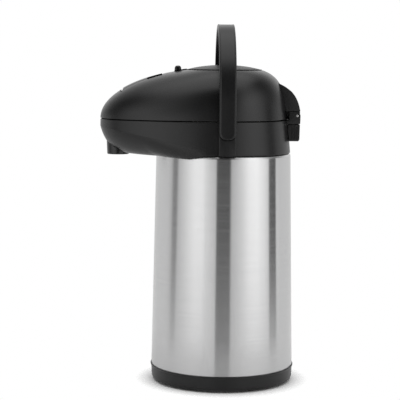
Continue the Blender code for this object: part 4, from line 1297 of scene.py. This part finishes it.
def on_strap(along, across, out):
    """A point on the strap: along it from the +X pivot to the other, across, and out."""
    if along <= LEG:
        x, z, nx, nz = ARCH_R, PIVOT_Z + along, 1.0, 0.0
    elif along >= LEG + ARCH_LENGTH:
        x, z, nx, nz = -ARCH_R, PIVOT_Z + (STRAP_LENGTH - along), -1.0, 0.0
    else:
        turn = (along - LEG) / ARCH_R
        nx, nz = math.cos(turn), math.sin(turn)
        x, z = ARCH_R * nx, ARCH_Z + ARCH_R * nz
    return (x + nx * out, STRAP_Y + across, z + nz * out)


def squarer(value):
    """The ends of the strap are a little squarer than a half circle."""
    return math.copysign(abs(value) ** 0.80, value)


def strap_ring(inset, out):
    """The strap's edge line moved in by inset, at a height out from its middle."""
    radius = END_R - inset
    points = []
    for sign, end in ((1, STRAP_LENGTH), (-1, 0.0)):
        points += [on_strap(along, sign * radius, out) for along in STOPS[::sign]]
        for i in range(1, END_STEPS):
            turn = math.pi * i / END_STEPS
            points.append(on_strap(end + sign * radius * squarer(math.sin(turn)),
                                   sign * radius * squarer(math.cos(turn)), out))
    return points


def fill_across(bm, row):
    """Fills the space inside a ring with faces that run straight across the strap."""
    count = len(STOPS)
    second = count + END_STEPS - 1
    left, right = row[:count], row[second:second + count][::-1]
    for i in range(count - 1):
        bm.faces.new((left[i], left[i + 1], right[i + 1], right[i]))
    far = [left[-1]] + row[count:second] + [right[-1]]
    near = [right[0]] + row[second + count:] + [left[0]]
    middle = END_STEPS // 2
    for end in (far, near):
        for i in range(middle - 1):
            bm.faces.new((end[i], end[i + 1], end[-2 - i], end[-1 - i]))
        bm.faces.new(end[middle - 1:middle + 2])


def make_handle():
    bm = bmesh.new()
    rows = [[bm.verts.new(p) for p in strap_ring(*station)] for station in STRAP_SECTION]
    for first, second in zip(rows, rows[1:]):
        bridge(bm, first, second)
    fill_across(bm, rows[0])
    fill_across(bm, rows[-1])
    angle = 40
    handle = finish_mesh("bail_handle", bm, angle)
    trunnions = []
    for side in (1, -1):
        ends = on_side(side, HANDLE_IN - 10.6, HANDLE_IN + 1.5)
        trunnions.append((JOIN, rod_x("trunnion", PIVOT_Y, PIVOT_Z, 4.1, *ends, seg=40)))
    piece(carve(handle, trunnions, angle), "handle", M_HANDLE, "carry_handle")


make_handle()

# the pivots. Sections are (r, x)
BUSH = fillet([(6.15, 72.8), (6.15, 79.45), (7.9, 79.45), (7.9, 80.2), (4.35, 80.2),
               (4.35, 72.8)], 0.2, 2)
CLIP = fillet([(4.35, 70.9), (5.1, 70.9), (5.1, 72.3), (4.35, 72.3)], 0.15, 2)
for side, tag in ((1, "right"), (-1, "left")):
    # a near-black crescent between the strap's end and the pad: painted shadow under the strap's
    # end
    face = []
    for i in range(96):
        turn = math.radians(3.75 * i)
        face.append((STRAP_Y + (END_R - 0.2) * squarer(math.cos(turn)),
                     PIVOT_Z - 1.15 + END_R * squarer(math.sin(turn))))
    shade_crescent = prism(f"washer_{tag}", face, "x", *on_side(side, 79.4, 80.3), bevel=0.15)
    shade_crescent = carve(shade_crescent, [(CUT, rod_x("washer_hole", PIVOT_Y, PIVOT_Z, 7.95, -90, 90))])
    piece(shade_crescent, "handle", M_SHADE)
    bush = ring_x(f"bush_{tag}", BUSH, side, seg=64)
    piece(bush, "handle_bushes", M_GREY, f"handle_bush_{tag}")
    clip = ring_x(f"clip_{tag}", CLIP, side, seg=48)
    piece(clip, "handle", M_BRIGHT, f"handle_clip_{tag}")

# ---- CAD nodes that stay as they are get a finish of their own ----
for name, node in frame["nodes"].items():
    if not node.hide_render:
        node.data.materials.clear()
        node.data.materials.append(M_VESSEL if name == "jacket_bottom" else M_BRIGHT)

# =====================================================================
# stage, light and camera
# =====================================================================
VIEW_ANGLE = math.radians(1.25)    # the camera stands this far from +X towards -Y
VIEW_X, VIEW_Y = math.cos(VIEW_ANGLE), -math.sin(VIEW_ANGLE)
VIEW_DISTANCE, VIEW_SHIFT, VIEW_Z = 1658, 26.5, 379.3
PITCH, ROLL = math.radians(5.9), math.radians(0.45)


def make_camera():
    camera = bpy.data.cameras.new("camera")
    camera.sensor_width = 36.0
    camera.lens = 129.96
    camera.clip_start, camera.clip_end = 0.05, 30.0
    obj = place("camera", camera)
    forward = Vector((-VIEW_X, -VIEW_Y, 0.0))
    look = (forward * math.cos(PITCH) + Vector((0, 0, -1)) * math.sin(PITCH)).normalized()
    roll = Matrix.Rotation(ROLL, 3, "Z").to_quaternion()
    obj.rotation_mode = "QUATERNION"
    obj.rotation_quaternion = look.to_track_quat("-Z", "Y") @ roll
    obj.location = Vector((VIEW_DISTANCE * VIEW_X + VIEW_SHIFT * VIEW_Y,
                           VIEW_DISTANCE * VIEW_Y - VIEW_SHIFT * VIEW_X, VIEW_Z)) * MM
    bpy.context.scene.camera = obj


def floor_material():
    """Pale and matt; it turns transparent away from the foot. Lengths are metres."""
    material, shader = new_material("floor_pale")
    material.node_tree.nodes.clear()
    output = shader.add("OutputMaterial")
    diffuse = shader.add("BsdfDiffuse")
    diffuse.inputs["Color"].default_value = (0.94, 0.94, 0.94, 1)
    clear = shader.add("BsdfTransparent")
    mixed = shader.add("MixShader")
    position = shader.add("TexCoord").outputs["Object"]
    length = shader.add("VectorMath", operation="LENGTH")
    shader.put(length.inputs[0], position)
    distance = length.outputs["Value"]
    seen = shader.span(distance, of=(0.078, 0.100))
    # it is less lit on the camera's side
    flat = shader.add("VectorMath", operation="NORMALIZE")
    shader.put(flat.inputs[0], position)
    facing = shader.add("VectorMath", operation="DOT_PRODUCT")
    shader.put(facing.inputs[0], flat.outputs[0])
    shader.put(facing.inputs[1], (VIEW_X, VIEW_Y, 0.0))
    sector = shader.span(facing.outputs["Value"], of=(0.900, 0.978))
    near = shader.span(distance, of=(0.10, 1.40), to=(0.36, 1.0))
    far = shader.span(distance, of=(0.30, 1.10), to=(0.0, 0.95))
    lit = shader.plus(shader.times(near, sector), shader.times(far, shader.rest(sector)))
    # from below, the floor doesn't hide the foot
    under = shader.add("NewGeometry").outputs["Backfacing"]
    fade = shader.by_ray(others=lit, camera=shader.math("MAXIMUM", seen, under))
    shader.put(mixed.inputs[0], fade)
    shader.put(mixed.inputs[1], diffuse.outputs[0])
    shader.put(mixed.inputs[2], clear.outputs[0])
    shader.put(output.inputs[0], mixed.outputs[0])
    return material


def make_floor():
    """A disc of rings, in metres, just below the foot."""
    bm = bmesh.new()
    centre = bm.verts.new((0, 0, 0))
    rows = []
    for radius in (0.04, 0.1, 0.2, 0.35, 0.6, 1.0, 1.7):
        rows.append([bm.verts.new((x, y, 0)) for x, y in circle(0, 0, radius, 96)])
    for i in range(96):
        bm.faces.new((centre, rows[0][i], rows[0][(i + 1) % 96]))
    for inner, outer in zip(rows, rows[1:]):
        # this order makes the faces point up
        for i in range(96):
            k = (i + 1) % 96
            bm.faces.new((inner[i], outer[i], outer[k], inner[k]))
    mesh = bpy.data.meshes.new("floor")
    bm.to_mesh(mesh)
    bm.free()
    floor = place("floor", mesh)
    floor.location = (0, 0, -0.0003)
    mesh.materials.append(floor_material())


# soft boxes and dark gaps round the horizon: azimuth in degrees, brightness.
# Azimuth is 0 towards the camera and positive towards +Y.
BANDS = (
    (-180, 0.68), (-137, 0.73), (-107, 0.78), (-99, 0.67), (-93, 0.31), (-86, 0.27),
    (-81.5, 0.68), (-64, 0.95), (-49, 1.26), (-35, 1.34), (-29, 1.12), (-17.5, 0.98),
    (-12.5, 0.88), (-11.0, 0.07), (11.0, 0.06), (13.0, 0.70), (16, 0.80), (30, 0.93),
    (44, 1.24), (58, 1.34), (74, 1.14), (82.0, 0.88), (83.8, 0.07), (98.6, 0.06),
    (100.3, 0.84), (103, 0.86), (112, 0.78), (141, 0.72), (180, 0.68))
# the same soft boxes higher up, where the gaps are wider
HIGH_BANDS = (
    (-180, 1.05), (-150, 1.02), (-120, 0.52), (-105, 0.20), (-90, 0.20), (-75, 0.72),
    (-60, 1.22), (-45, 1.14), (-32, 0.70), (-20, 0.22), (-10, 0.05), (9, 0.04), (16, 0.16),
    (22, 0.38), (30, 0.85), (45, 1.58), (60, 1.65), (75, 1.05), (84, 0.60), (92, 0.34),
    (105, 0.22), (118, 0.42), (140, 0.85), (160, 1.05), (180, 1.05))
TOP_LIGHT, FLOOR_LIGHT = 1.42, 0.36


def band_light(shader, azimuth, bands):
    ramp = shader.add("ValToRGB")
    ramp.color_ramp.interpolation = "LINEAR"
    elements = ramp.color_ramp.elements
    while len(elements) > 1:
        elements.remove(elements[-1])
    for i, (degrees, value) in enumerate(bands):
        position = (degrees + 180.0) / 360.0
        element = elements[0] if i == 0 else elements.new(position)
        element.position = position
        element.color = (value, value, value, 1)
    shader.put(ramp.inputs[0], shader.span(azimuth, of=(-math.pi, math.pi)))
    grey = shader.add("RGBToBW")
    shader.put(grey.inputs[0], ramp.outputs[0])
    return grey.outputs[0]


def make_world():
    """A soft studio; the camera itself sees plain white."""
    world = bpy.data.worlds.new("studio")
    bpy.context.scene.world = world
    world.use_nodes = True
    world.node_tree.nodes.clear()
    shader = Shader(world.node_tree)
    plus, times = shader.plus, shader.times
    split = shader.add("SeparateXYZ")
    shader.put(split.inputs[0], shader.add("TexCoord").outputs["Generated"])
    x, y, z = split.outputs
    toward = plus(times(x, VIEW_X), times(y, VIEW_Y))
    right = plus(times(x, -VIEW_Y), times(y, VIEW_X))
    azimuth = shader.math("ARCTAN2", right, toward)
    side_light = band_light(shader, azimuth, BANDS)
    high_light = band_light(shader, azimuth, HIGH_BANDS)
    # above the bands is a broad soft box; below, they melt into the pale floor
    up = shader.span(z, of=(0.77, 0.906))
    rise = shader.span(z, of=(0.03, 0.24))
    low = shader.span(z, of=(-0.16, -0.50), to=(0.0, 0.8))
    dip = shader.span(z, of=(0.36, 0.62), to=(1.0, 0.62))
    wall = plus(times(side_light, shader.rest(rise)), times(times(high_light, dip), rise))
    level = plus(times(wall, shader.rest(low)), times(low, FLOOR_LIGHT))
    light = plus(times(level, shader.rest(up)), times(up, TOP_LIGHT))
    background = shader.add("Background")
    background.inputs["Color"].default_value = (1, 1, 1, 1)
    shader.put(background.inputs["Strength"], shader.by_ray(others=light, camera=1.0))
    output = shader.add("OutputWorld")
    shader.put(output.inputs[0], background.outputs[0])


make_camera()
make_floor()
make_world()

scene = bpy.context.scene
scene.view_settings.view_transform = "Standard"
scene.view_settings.look = "None"
